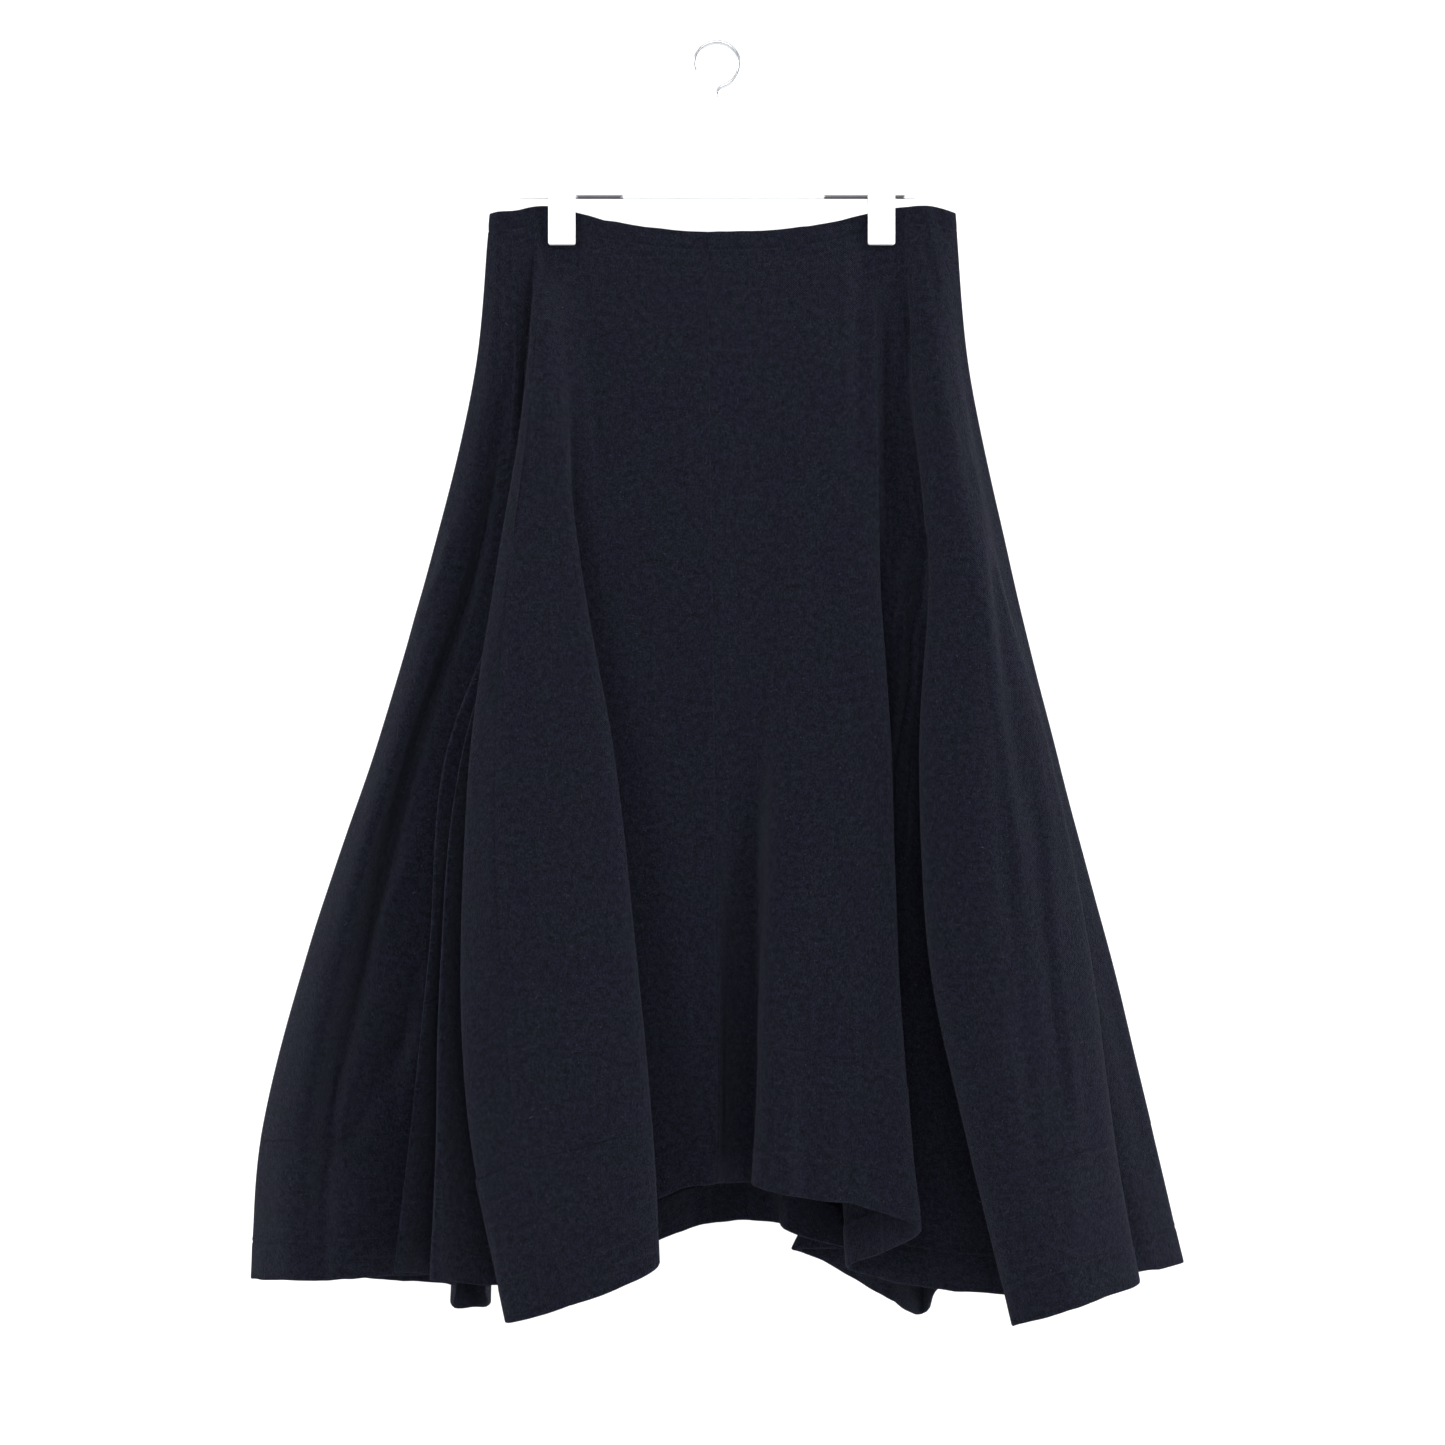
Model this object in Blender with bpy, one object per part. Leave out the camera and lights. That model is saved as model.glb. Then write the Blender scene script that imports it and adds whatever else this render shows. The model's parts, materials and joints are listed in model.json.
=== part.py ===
"""A flared skirt of heavy wool, hanging by its waist from a clip hanger.

Metres, +Z up. The origin is the inside top of the hanger's hook, where a rail carries it. The front faces -Y,
and the wearer's right side, which is the viewer's left, is at -X.

The skirt is six gores with a hem band below each. They lie on one folded surface: a closed ribbon that runs
through the fold lines of FRONT_FOLDS and BACK_FOLDS at every height. Where the ribbon doubles back, one fold
covers the next.
"""

import math

import bmesh
import bpy
import numpy as np
from mathutils import Vector

# Cloth
CLOTH = 0.0016  # wall of the fulled wool
SEAM_GAP = 0.0003  # between pieces that are sewn edge to edge
BAND_DEPTH = 0.108  # hem band, seam to hem
BODY_ROWS = 22  # rows of faces down a gore
ROW_CROWDING = 1.2  # rows lie closer together towards the waist, where the folds open out
BAND_ROWS = 4
COLUMN_WIDTH = 0.020  # at the hem; a stretch between two fold lines has at least FEWEST_COLUMNS
FEWEST_COLUMNS = 2
MOST_COLUMNS = 4

# The fold lines are measured from the front, at VIEW_DISTANCE from the hanger's plane and level with VIEW_LEVEL.
VIEW_DISTANCE = 2.500
VIEW_CENTRE = 0.004
VIEW_LEVEL = -0.524

# Heights at which each fold line is measured, between the waist edge and the hem, in millimetres
LEVELS = (-250, -400, -550, -700, -850)

# The waist edge, dipped between the clips: distance from the middle and height, in millimetres
WAIST_EDGE = (
    (-176, -130.5),
    (-154, -128.5),
    (-133, -125),
    (-109, -130),
    (-74, -139),
    (-42, -143.5),
    (-5, -146),
    (45, -144.5),
    (84, -139),
    (116, -131),
    (138, -126.5),
    (166, -126),
    (185, -130.5),
)

# Each row is one fold line, in order along the cloth from the left edge over the front to the right edge.
# Columns, in millimetres: name; distance from the middle and depth, both at the waist, at the five LEVELS and
# at the hem; height of the hem. Depth is negative towards the front. A "behind" line is a fold's hidden turn.
FRONT_FOLDS = (
    ("left_edge", (-175, -186, -221, -265, -315, -352, -359), (0, 3, 6, 8, 10, 10, 10), -954),
    ("left_wing", (-168, -172, -198, -232, -270, -300, -310), (-3, -7, -10, -13, -16, -17, -17), -955),
    ("left_wing_inner", (-161, -156, -161, -192, -214, -230, -238), (-3, -8, -8, -8, -9, -8, -6), -951),
    ("behind_first", (-157, -154.5, -156, -183, -202, -214, -222), (-3, -9, -10, -8, -4, 0, 2), -950),
    ("first_narrow_fold", (-154, -153, -154, -197, -218, -238, -249), (-3, -10.5, -13, -18, -25, -29, -31), -948),
    ("behind_second", (-150, -152, -153, -187, -204, -205, -207), (-3, -11.5, -16, -19, -19, -17, -15), -952),
    ("second_narrow_fold", (-147, -151.5, -153, -188, -212, -216, -221), (-3, -13, -20, -28, -36, -42, -44), -955),
    ("second_fold_face", (-144, -151, -155, -181, -197, -192, -189), (-3, -14.5, -22, -29, -32, -35, -35), -959),
    ("behind_left_fold", (-141, -150.5, -158, -172, -180, -163, -143), (-3, -16.5, -25, -28, -26, -24, -24), -962),
    ("left_fold_edge", (-138, -149, -170, -189, -197, -187, -158), (-3, -20, -32, -44, -54, -60, -62), -988),
    ("left_fold_seam", (-135, -143, -160, -171, -167, -150, -113), (-2, -23, -38, -51, -62, -68, -71), -974),
    ("left_fold_face", (-129, -132, -136, -130, -113, -98, -78), (-2, -24, -40, -54, -65, -71, -73), -962),
    ("left_fold_right_edge", (-124, -121, -106, -80, -63, -49, -45), (-2, -22, -36, -47, -55, -60, -62), -943),
    ("behind_left_fold_right", (-119, -120, -115, -100, -92, -85, -82), (-2, -17, -26, -32, -36, -39, -40), -918),
    ("middle_left", (-95, -95, -84, -62, -47, -36, -32), (-4, -16, -24, -30, -34, -37, -39), -886),
    ("centre_front", (-7, -6, -4, -1, -1, 0, -4), (-8, -18, -26, -33, -39, -43, -45), -881),
    ("middle_valley", (20, 22, 24, 27, 21, 22, 22), (-8, -18, -26, -30, -31, -31, -31), -878),
    ("right_of_middle_edge", (46, 47, 47, 46, 37, 32, 30), (-7, -18, -26, -34, -45, -51, -53), -883),
    ("right_of_middle_face", (85, 85, 85, 88, 85, 82, 76), (-5, -18, -27, -38, -49, -56, -58), -894),
    ("facet_crease", (112, 113, 115, 118, 117, 112, 110), (-2, -16, -28, -39, -50, -58, -60), -898),
    ("facet_edge", (122, 125, 127, 134, 140, 151, 157), (-2, -14, -24, -33, -41, -47, -49), -916),
    ("side_front_seam_right", (126, 124, 123, 126, 127, 128, 130), (-2, -12, -20, -25, -29, -32, -33), -932),
    ("valley_turn", (130, 125, 121, 117, 112, 104, 101), (-2, -9, -14, -16, -17, -18, -18), -947),
    ("valley_floor", (134, 133, 137, 145, 158, 168, 170), (-2, -7, -10, -11, -12, -12, -12), -962),
    ("behind_right_fold", (140, 148, 166, 176, 194, 226, 258), (-2, -8, -12, -11, -9, -7, -7), -972),
    ("right_fold_edge", (148, 157, 164, 158, 164, 197, 229), (-3, -16, -30, -42, -52, -58, -60), -990),
    ("right_fold_face", (161, 174, 204, 223, 240, 258, 284), (-4, -18, -34, -48, -60, -66, -68), -974),
    ("right_fold_right_edge", (172, 184, 214, 257, 288, 308, 327), (-3, -12, -18, -26, -36, -42, -44), -953),
    ("behind_right_fold_right", (176, 187, 217, 254, 275, 289, 302), (-3, -8, -10, -12, -17, -20, -21), -951),
    ("right_wing", (181, 190, 221, 258, 290, 316, 342), (-2, -4, -4, -4, -6, -8, -9), -947),
    ("right_edge", (185, 194, 226, 262, 302, 338, 360), (0, 3, 6, 8, 10, 10, 10), -942),
)

# The same from the right edge over the back to the left edge. Only its hem shows from the front.
BACK_FOLDS = (
    ("back_right_wing", (172, 182, 208, 238, 270, 297, 313), (3, 11, 18, 23, 27, 29, 31), -950),
    ("side_back_seam_right", (151, 158, 175, 196, 217, 234, 242), (3, 8, 12, 13, 13, 13, 13), -954),
    ("back_right_fold", (126, 129, 138, 148, 156, 160, 160), (2, 14, 25, 36, 44, 50, 52), -979),
    ("behind_back_right_fold", (108, 112, 122, 130, 134, 137, 140), (2, 9, 14, 18, 20, 22, 22), -965),
    ("back_right_small_fold", (86, 86, 86, 86, 86, 86, 86), (5, 14, 21, 28, 34, 39, 41), -931),
    ("behind_back_right_small_fold", (60, 60, 60, 60, 61, 62, 63), (7, 12, 16, 19, 20, 20, 20), -914),
    ("centre_back_right", (28, 28, 28, 28, 28, 28, 28), (8, 17, 25, 32, 36, 39, 40), -906),
    ("centre_back", (-7, -7, -7, -7, -7, -7, -7), (8, 16, 23, 29, 33, 36, 37), -911),
    ("back_left_valley", (-46, -46, -47, -48, -49, -50, -50), (7, 13, 18, 21, 22, 22, 22), -926),
    ("back_left_small_fold", (-80, -80, -83, -88, -92, -95, -96), (5, 15, 26, 36, 43, 48, 50), -948),
    ("behind_back_left_fold", (-109, -108, -114, -124, -132, -138, -141), (2, 9, 14, 18, 20, 21, 21), -963),
    ("back_left_fold", (-130, -134, -147, -162, -175, -186, -190), (2, 14, 25, 36, 44, 50, 52), -974),
    ("side_back_seam_left", (-149, -153, -173, -195, -217, -236, -244), (3, 8, 12, 14, 14, 14, 14), -956),
    ("back_left_wing", (-165, -176, -205, -242, -283, -314, -324), (3, 11, 18, 23, 27, 29, 31), -949),
)

# Gore name and the fold lines that are its two seams, in order along the cloth
GORES = (
    ("front_left", "left_fold_seam", "centre_front"),
    ("front_right", "centre_front", "side_front_seam_right"),
    ("side_right", "side_front_seam_right", "side_back_seam_right"),
    ("back_right", "side_back_seam_right", "centre_back"),
    ("back_left", "centre_back", "side_back_seam_left"),
    ("side_left", "side_back_seam_left", "left_fold_seam"),
)

# Hanger
BAR_LENGTH = 0.379
BAR_HEIGHT = 0.029
BAR_THICK = 0.012
BAR_TOP = -0.046
BAR_CENTRE = -0.001
BAR_EDGE = 0.003
BOSS_RADIUS = 0.006
BOSS_HEIGHT = 0.004
HOOK_WIRE = 0.0036
HOOK_RADIUS = 0.0155  # inside of the crown
HOOK_SEAT = 0.012  # length of the hook's stem inside the bar
FRAME_WIRE = 0.003
FRAME_LEFT = -0.157
FRAME_RIGHT = 0.157
FRAME_BOTTOM = -0.118
FRAME_CORNER = 0.006
FRAME_SEAT = 0.008
FIT = 0.0003  # clearance of a wire in its hole, and of faces that touch

# Clips
CLIP_CENTRES = (("clip_left", -0.1196), ("clip_right", 0.1269))
CLIP_WIDTH = 0.021
CLIP_TOP = -0.091
CLIP_FOOT = -0.1535
CLIP_PLATE = 0.0028
CLIP_LIP = 0.016  # height of the thicker end that grips the cloth
CLIP_ROUND = 0.0035
SLEEVE_RADIUS = 0.0042
PINCH = 0.0012  # from the hanger's plane to the middle of a gripped layer
PINCH_REACH_X = 0.018
PINCH_REACH_Z = 0.060

COLOURS = {
    "wool": ((0.0100, 0.0115, 0.0185), 0.95, 0.0),
    "white_plastic": ((0.85, 0.86, 0.87), 0.35, 0.0),
    "white_wire": ((0.78, 0.79, 0.80), 0.30, 0.0),
    "steel": ((0.60, 0.61, 0.63), 0.25, 1.0),
}


def clear_scene():
    for thing in list(bpy.data.objects):
        bpy.data.objects.remove(thing, do_unlink=True)


def material(name):
    made = bpy.data.materials.new(name)
    made.use_nodes = True
    shader = made.node_tree.nodes["Principled BSDF"]
    colour, roughness, metallic = COLOURS[name.split(".")[0]]
    shader.inputs["Base Color"].default_value = (*colour, 1.0)
    shader.inputs["Roughness"].default_value = roughness
    shader.inputs["Metallic"].default_value = metallic
    return made


def add_object(name, mesh, finish):
    piece = bpy.data.objects.new(name, mesh)
    mesh.materials.append(material(f"{finish}.{name}"))
    bpy.context.scene.collection.objects.link(piece)
    return piece


def smooth_step(value):
    value = np.clip(value, 0.0, 1.0)
    return value * value * (3.0 - 2.0 * value)


def through(heights, values, at):
    """A smooth curve through the values given at falling heights, going on straight past both ends."""
    heights = -np.asarray(heights)
    values = np.asarray(values)
    at = -np.asarray(at)
    slopes = np.diff(values) / np.diff(heights)
    bends = np.concatenate([slopes[:1], (slopes[1:] + slopes[:-1]) / 2, slopes[-1:]])
    span = np.clip(np.searchsorted(heights, at) - 1, 0, len(slopes) - 1)
    width = heights[span + 1] - heights[span]
    share = (at - heights[span]) / width
    inside = np.clip(share, 0.0, 1.0)
    start = values[span] * (2 * inside**3 - 3 * inside**2 + 1)
    start = start + bends[span] * width * (inside**3 - 2 * inside**2 + inside)
    end = values[span + 1] * (3 * inside**2 - 2 * inside**3)
    end = end + bends[span + 1] * width * (inside**3 - inside**2)
    past = np.where(share > 1, bends[span + 1], bends[span]) * (share - inside) * width
    return start + end + past


def waist_height(x):
    along, height = np.array(WAIST_EDGE).T / 1000
    return float(np.interp(x, along, height))


class FoldLine:
    """One fold line in true sizes: a layer that lies deeper measures small from the front by its depth."""

    def __init__(self, row):
        self.name, across, depth, hem = row
        depth = np.array(depth) / 1000
        scale = 1 + depth / VIEW_DISTANCE
        across = VIEW_CENTRE + (np.array(across) / 1000 - VIEW_CENTRE) * scale
        top = waist_height(across[0])
        self.hem = VIEW_LEVEL + (hem / 1000 - VIEW_LEVEL) * scale[-1]
        self.top = top
        self.heights = [top, *(level / 1000 for level in LEVELS), self.hem]
        self.across = across
        self.depth = depth

    def at(self, height):
        return np.stack(
            [through(self.heights, self.across, height), through(self.heights, self.depth, height)], axis=-1
        )


LINES = [FoldLine(row) for row in FRONT_FOLDS + BACK_FOLDS]
NUMBER = {line.name: index for index, line in enumerate(LINES)}


def knot_times(points):
    """Spacing of a ribbon's turns that keeps the curve between them free of loops."""
    steps = np.linalg.norm(np.diff(points, axis=0), axis=-1)
    return np.concatenate([np.zeros((1, *steps.shape[1:])), np.cumsum(np.sqrt(steps), axis=0)])


def between(points, share):
    """The curve from the second to the third of four turns, at this share of the way."""
    time = knot_times(points)
    time[:, time[3] == 0] = np.arange(4)[:, None]
    now = time[1] + (time[2] - time[1]) * share

    def mix(a, b, start, end):
        weight = ((now - start) / np.maximum(end - start, 1e-9))[..., None]
        return a * (1 - weight) + b * weight

    first = mix(points[0], points[1], time[0], time[1])
    second = mix(points[1], points[2], time[1], time[2])
    third = mix(points[2], points[3], time[2], time[3])
    early = mix(first, second, time[0], time[2])
    late = mix(second, third, time[1], time[3])
    return mix(early, late, time[1], time[2])


def ease(values, share):
    """A height between two fold lines, out of those of four neighbours."""
    a, b, c, d = values
    turn_in = (c - a) / 2
    turn_out = (d - b) / 2
    return (
        b * (2 * share**3 - 3 * share**2 + 1)
        + turn_in * (share**3 - 2 * share**2 + share)
        + c * (3 * share**2 - 2 * share**3)
        + turn_out * (share**3 - share**2)
    )


def press_at_clips(points, heights, front):
    """Depth of the layers, pressed together where a clip grips them."""
    depth = points[..., 1]
    gripped = -PINCH if front else PINCH
    for _, centre in CLIP_CENTRES:
        beside = np.abs(points[..., 0] - centre) - CLIP_WIDTH / 2 - 0.002
        below = CLIP_FOOT - 0.003 - heights
        hold = (1 - smooth_step(beside / PINCH_REACH_X)) * (1 - smooth_step(below / PINCH_REACH_Z))
        depth = depth * (1 - hold) + gripped * hold
    return np.stack([points[..., 0], depth], axis=-1)


def column(number, share, shares_down):
    """Points down the cloth, between a fold line and the next, and the height of its band seam and hem."""
    four = [LINES[(number + step) % len(LINES)] for step in (-1, 0, 1, 2)]
    top = ease([line.top for line in four], share)
    hem = ease([line.hem for line in four], share)
    seam = hem + BAND_DEPTH
    down = np.asarray(shares_down)
    heights = np.where(down <= 1, top + (seam - top) * down, seam + (hem - seam) * (down - 1))
    points = between(np.array([line.at(heights) for line in four]), share)
    front = number + share < NUMBER["right_edge"]
    points = press_at_clips(points, heights, front)
    return np.concatenate([points, heights[:, None]], axis=1)


def column_places(start, end):
    """Fold line numbers with shares, from one seam to the other."""
    places = []
    number = start
    while number != end:
        following = (number + 1) % len(LINES)
        a, b = LINES[number], LINES[following]
        length = math.dist((a.across[-1], a.depth[-1]), (b.across[-1], b.depth[-1]))
        count = min(max(round(length / COLUMN_WIDTH), FEWEST_COLUMNS), MOST_COLUMNS)
        places += [(number, step / count) for step in range(count)]
        number = following
    return places + [((end - 1) % len(LINES), 1.0)]


def surface(places, shares_down):
    """Grid of points and of their outward directions, over the columns and down the rows."""
    grid = np.array([column(number, share, shares_down) for number, share in places])
    nudge = 0.02
    ahead = np.array([column(*step_on(place, nudge), shares_down) for place in places])
    behind = np.array([column(*step_on(place, -nudge), shares_down) for place in places])
    along = ahead - behind
    down = np.gradient(grid, axis=1)
    outward = np.cross(down, along)
    outward /= np.linalg.norm(outward, axis=-1, keepdims=True)
    along /= np.linalg.norm(along, axis=-1, keepdims=True)
    down /= np.linalg.norm(down, axis=-1, keepdims=True)
    return grid, outward, along, down


def step_on(place, nudge):
    number, share = place
    share += nudge
    if share < 0:
        return (number - 1) % len(LINES), share + 1
    if share > 1:
        return (number + 1) % len(LINES), share - 1
    return number, share


def wall(grid, outward):
    """Closed wall of cloth: the outer face, the inner face and the four cut edges."""
    columns, rows = grid.shape[:2]
    shell = bmesh.new()
    outer = [[shell.verts.new(Vector(p)) for p in line] for line in grid + outward * CLOTH / 2]
    inner = [[shell.verts.new(Vector(p)) for p in line] for line in grid - outward * CLOTH / 2]
    for i in range(columns - 1):
        for j in range(rows - 1):
            shell.faces.new((outer[i][j], outer[i][j + 1], outer[i + 1][j + 1], outer[i + 1][j]))
            shell.faces.new((inner[i][j], inner[i + 1][j], inner[i + 1][j + 1], inner[i][j + 1]))
    for i in range(columns - 1):
        shell.faces.new((outer[i][0], outer[i + 1][0], inner[i + 1][0], inner[i][0]))
        shell.faces.new((outer[i][-1], inner[i][-1], inner[i + 1][-1], outer[i + 1][-1]))
    for j in range(rows - 1):
        shell.faces.new((outer[0][j], inner[0][j], inner[0][j + 1], outer[0][j + 1]))
        shell.faces.new((outer[-1][j], outer[-1][j + 1], inner[-1][j + 1], inner[-1][j]))
    bmesh.ops.recalc_face_normals(shell, faces=shell.faces)
    return shell


def finish_mesh(name, shell, smooth=True):
    mesh = bpy.data.meshes.new(name)
    shell.to_mesh(mesh)
    shell.free()
    if smooth:
        mesh.shade_smooth()
        mesh.set_sharp_from_angle(angle=math.radians(40))
    return mesh


def cloth_piece(name, places, shares_down, seam_at_top, seam_at_foot):
    grid, outward, along, down = surface(places, shares_down)
    grid[0] += along[0] * SEAM_GAP / 2
    grid[-1] -= along[-1] * SEAM_GAP / 2
    if seam_at_top:
        grid[:, 0] += down[:, 0] * SEAM_GAP / 2
    if seam_at_foot:
        grid[:, -1] -= down[:, -1] * SEAM_GAP / 2
    add_object(name, finish_mesh(name, wall(grid, outward)), "wool")


def make_skirt():
    body = np.linspace(0.0, 1.0, BODY_ROWS + 1) ** ROW_CROWDING
    band = np.linspace(1.0, 2.0, BAND_ROWS + 1)
    for name, start, end in GORES:
        places = column_places(NUMBER[start], NUMBER[end])
        cloth_piece(name, places, body, False, True)
        cloth_piece(f"band_{name}", places, band, True, False)


def tube(name, path, diameter, finish, sides=3):
    """Round wire along a path of points, with flat ends."""
    curve = bpy.data.curves.new(name, "CURVE")
    curve.dimensions = "3D"
    curve.bevel_depth = diameter / 2
    curve.bevel_resolution = sides
    curve.use_fill_caps = True
    line = curve.splines.new("POLY")
    line.points.add(len(path) - 1)
    for point, place in zip(line.points, path):
        point.co = (*place, 1.0)
    piece = bpy.data.objects.new(name, curve)
    curve.materials.append(material(f"{finish}.{name}"))
    bpy.context.scene.collection.objects.link(piece)
    return piece


def arc(centre, radius, start, end, count):
    angles = np.radians(np.linspace(start, end, count))
    return [(centre[0] + radius * math.cos(a), 0.0, centre[1] + radius * math.sin(a)) for a in angles]


def hook_path():
    """Round crown over the rail, then a short swan neck down to the middle of the bar."""
    radius = HOOK_RADIUS + HOOK_WIRE / 2
    crown = (0.0, -HOOK_RADIUS)
    over = arc(crown, radius, 195, -35, 24)
    end = Vector(over[-1])
    stem_top = Vector((0.0, 0.0, BAR_TOP + BOSS_HEIGHT + 0.002))
    leave = Vector((-math.sin(math.radians(35)), 0.0, -math.cos(math.radians(35)))) * 0.012
    arrive = Vector((0.0, 0.0, 0.006))
    neck = []
    steps = 7
    for step in range(1, steps + 1):
        t = step / steps
        a, b, c, d = end, end + leave, stem_top + arrive, stem_top
        neck.append(a * (1 - t) ** 3 + b * 3 * t * (1 - t) ** 2 + c * 3 * t**2 * (1 - t) + d * t**3)
    return over + [tuple(point) for point in neck] + [(0.0, 0.0, BAR_TOP - HOOK_SEAT + 0.001)]


def frame_path():
    """The wire that the clips ride on: down from the bar, across and up again, round at its corners."""
    low = FRAME_BOTTOM + FRAME_CORNER
    top = BAR_TOP - BAR_HEIGHT + FRAME_SEAT - 0.0005
    left = arc((FRAME_LEFT + FRAME_CORNER, low), FRAME_CORNER, 180, 270, 7)
    right = arc((FRAME_RIGHT - FRAME_CORNER, low), FRAME_CORNER, 270, 360, 7)
    return [(FRAME_LEFT, 0.0, top)] + left + right + [(FRAME_RIGHT, 0.0, top)]


def box_with_round_edges(low, high, edge, segments):
    shell = bmesh.new()
    bmesh.ops.create_cube(shell, size=1.0)
    middle = (Vector(low) + Vector(high)) / 2
    size = Vector(high) - Vector(low)
    for vert in shell.verts:
        vert.co = Vector(c * s for c, s in zip(vert.co, size)) + middle
    bmesh.ops.bevel(shell, geom=list(shell.edges), offset=edge, segments=segments, profile=0.5, affect="EDGES")
    return shell


def cutter(name, radius, low, high, x):
    shell = bmesh.new()
    bmesh.ops.create_cone(
        shell, cap_ends=True, cap_tris=False, segments=16, radius1=radius, radius2=radius, depth=high - low
    )
    bmesh.ops.translate(shell, verts=shell.verts, vec=(x, 0.0, (high + low) / 2))
    mesh = finish_mesh(name, shell, smooth=False)
    piece = bpy.data.objects.new(name, mesh)
    piece.hide_render = True
    piece.display_type = "WIRE"
    bpy.context.scene.collection.objects.link(piece)
    return piece


def combine(piece, other, operation):
    modifier = piece.modifiers.new(f"{operation.lower()} {other.name}", "BOOLEAN")
    modifier.operation = operation
    modifier.solver = "EXACT"
    modifier.object = other


def make_bar():
    """Round-edged bar with a boss for the hook and drilled seats for the hook's stem and the wire's two ends."""
    half = BAR_LENGTH / 2
    low = (BAR_CENTRE - half, -BAR_THICK / 2, BAR_TOP - BAR_HEIGHT)
    high = (BAR_CENTRE + half, BAR_THICK / 2, BAR_TOP)
    shell = box_with_round_edges(low, high, BAR_EDGE, segments=3)
    bar = add_object("hanger_bar", finish_mesh("hanger_bar", shell), "white_plastic")
    boss = cutter("boss", BOSS_RADIUS, BAR_TOP - 0.006, BAR_TOP + BOSS_HEIGHT, 0.0)
    combine(bar, boss, "UNION")
    hook_hole = cutter(
        "hook_hole", HOOK_WIRE / 2 + FIT, BAR_TOP - HOOK_SEAT, BAR_TOP + BOSS_HEIGHT + 0.01, 0.0
    )
    combine(bar, hook_hole, "DIFFERENCE")
    foot = BAR_TOP - BAR_HEIGHT
    for side, x in (("left", FRAME_LEFT), ("right", FRAME_RIGHT)):
        hole = cutter(f"wire_hole_{side}", FRAME_WIRE / 2 + FIT, foot - 0.01, foot + FRAME_SEAT, x)
        combine(bar, hole, "DIFFERENCE")


def jaw(name, centre, side):
    """Plate of a clip. Its lower end is thicker on the inside, where it grips; side is -1 in front, 1 behind."""
    inner = SLEEVE_RADIUS + FIT
    outer = inner + CLIP_PLATE
    grip = PINCH + CLOTH / 2 + FIT
    profile = (
        (outer, CLIP_TOP),
        (inner, CLIP_TOP),
        (inner, CLIP_FOOT + CLIP_LIP + 0.004),
        (grip, CLIP_FOOT + CLIP_LIP),
        (grip, CLIP_FOOT),
        (outer, CLIP_FOOT),
    )
    shell = bmesh.new()
    half = CLIP_WIDTH / 2
    left = [shell.verts.new((centre - half, side * y, z)) for y, z in profile]
    right = [shell.verts.new((centre + half, side * y, z)) for y, z in profile]
    shell.faces.new(left)
    shell.faces.new(right)
    for i in range(len(profile)):
        j = (i + 1) % len(profile)
        shell.faces.new((left[i], left[j], right[j], right[i]))
    bmesh.ops.recalc_face_normals(shell, faces=shell.faces)
    corners = [e for e in shell.edges if is_corner(e)]
    bmesh.ops.bevel(shell, geom=corners, offset=CLIP_ROUND, segments=4, profile=0.5, affect="EDGES")
    add_object(name, finish_mesh(name, shell), "white_plastic")


def is_corner(edge):
    """An edge of a jaw that runs front to back at its four outer corners."""
    a, b = (vert.co for vert in edge.verts)
    across = abs(a.x - b.x) < 1e-6 and abs(a.z - b.z) < 1e-6
    return across and (abs(a.z - CLIP_TOP) < 1e-6 or abs(a.z - CLIP_FOOT) < 1e-6)


def make_sleeve(name, centre):
    """Sleeve of a clip, turned round the wire."""
    shell = bmesh.new()
    half = CLIP_WIDTH / 2 - 0.003
    bore = FRAME_WIRE / 2 + FIT
    profile = ((-half, bore), (half, bore), (half, SLEEVE_RADIUS), (-half, SLEEVE_RADIUS))
    steps = 16
    rings = []
    for step in range(steps):
        angle = 2 * math.pi * step / steps
        ring = [
            shell.verts.new((centre + x, r * math.cos(angle), FRAME_BOTTOM + r * math.sin(angle)))
            for x, r in profile
        ]
        rings.append(ring)
    for step in range(steps):
        here, there = rings[step], rings[(step + 1) % steps]
        for i in range(len(profile)):
            j = (i + 1) % len(profile)
            shell.faces.new((here[i], here[j], there[j], there[i]))
    bmesh.ops.recalc_face_normals(shell, faces=shell.faces)
    add_object(name, finish_mesh(name, shell), "white_plastic")


def make_hanger():
    make_bar()
    tube("hanger_hook", hook_path(), HOOK_WIRE, "steel")
    tube("hanger_wire", frame_path(), FRAME_WIRE, "white_wire", sides=2)
    for name, centre in CLIP_CENTRES:
        jaw(f"{name}_front_jaw", centre, -1)
        jaw(f"{name}_back_jaw", centre, 1)
        make_sleeve(f"{name}_sleeve", centre)


clear_scene()
make_skirt()
make_hanger()
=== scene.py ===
"""The looks of a flared wool skirt on a clip hanger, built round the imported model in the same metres.

The cloth is twelve sheets, six gores with a hem band below each. They follow the same folded surface as the
solids, with finer folds, creases, turned edges and stitches. The front faces -Y and the viewer's left is -X.
"""

import json
import math

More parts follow.
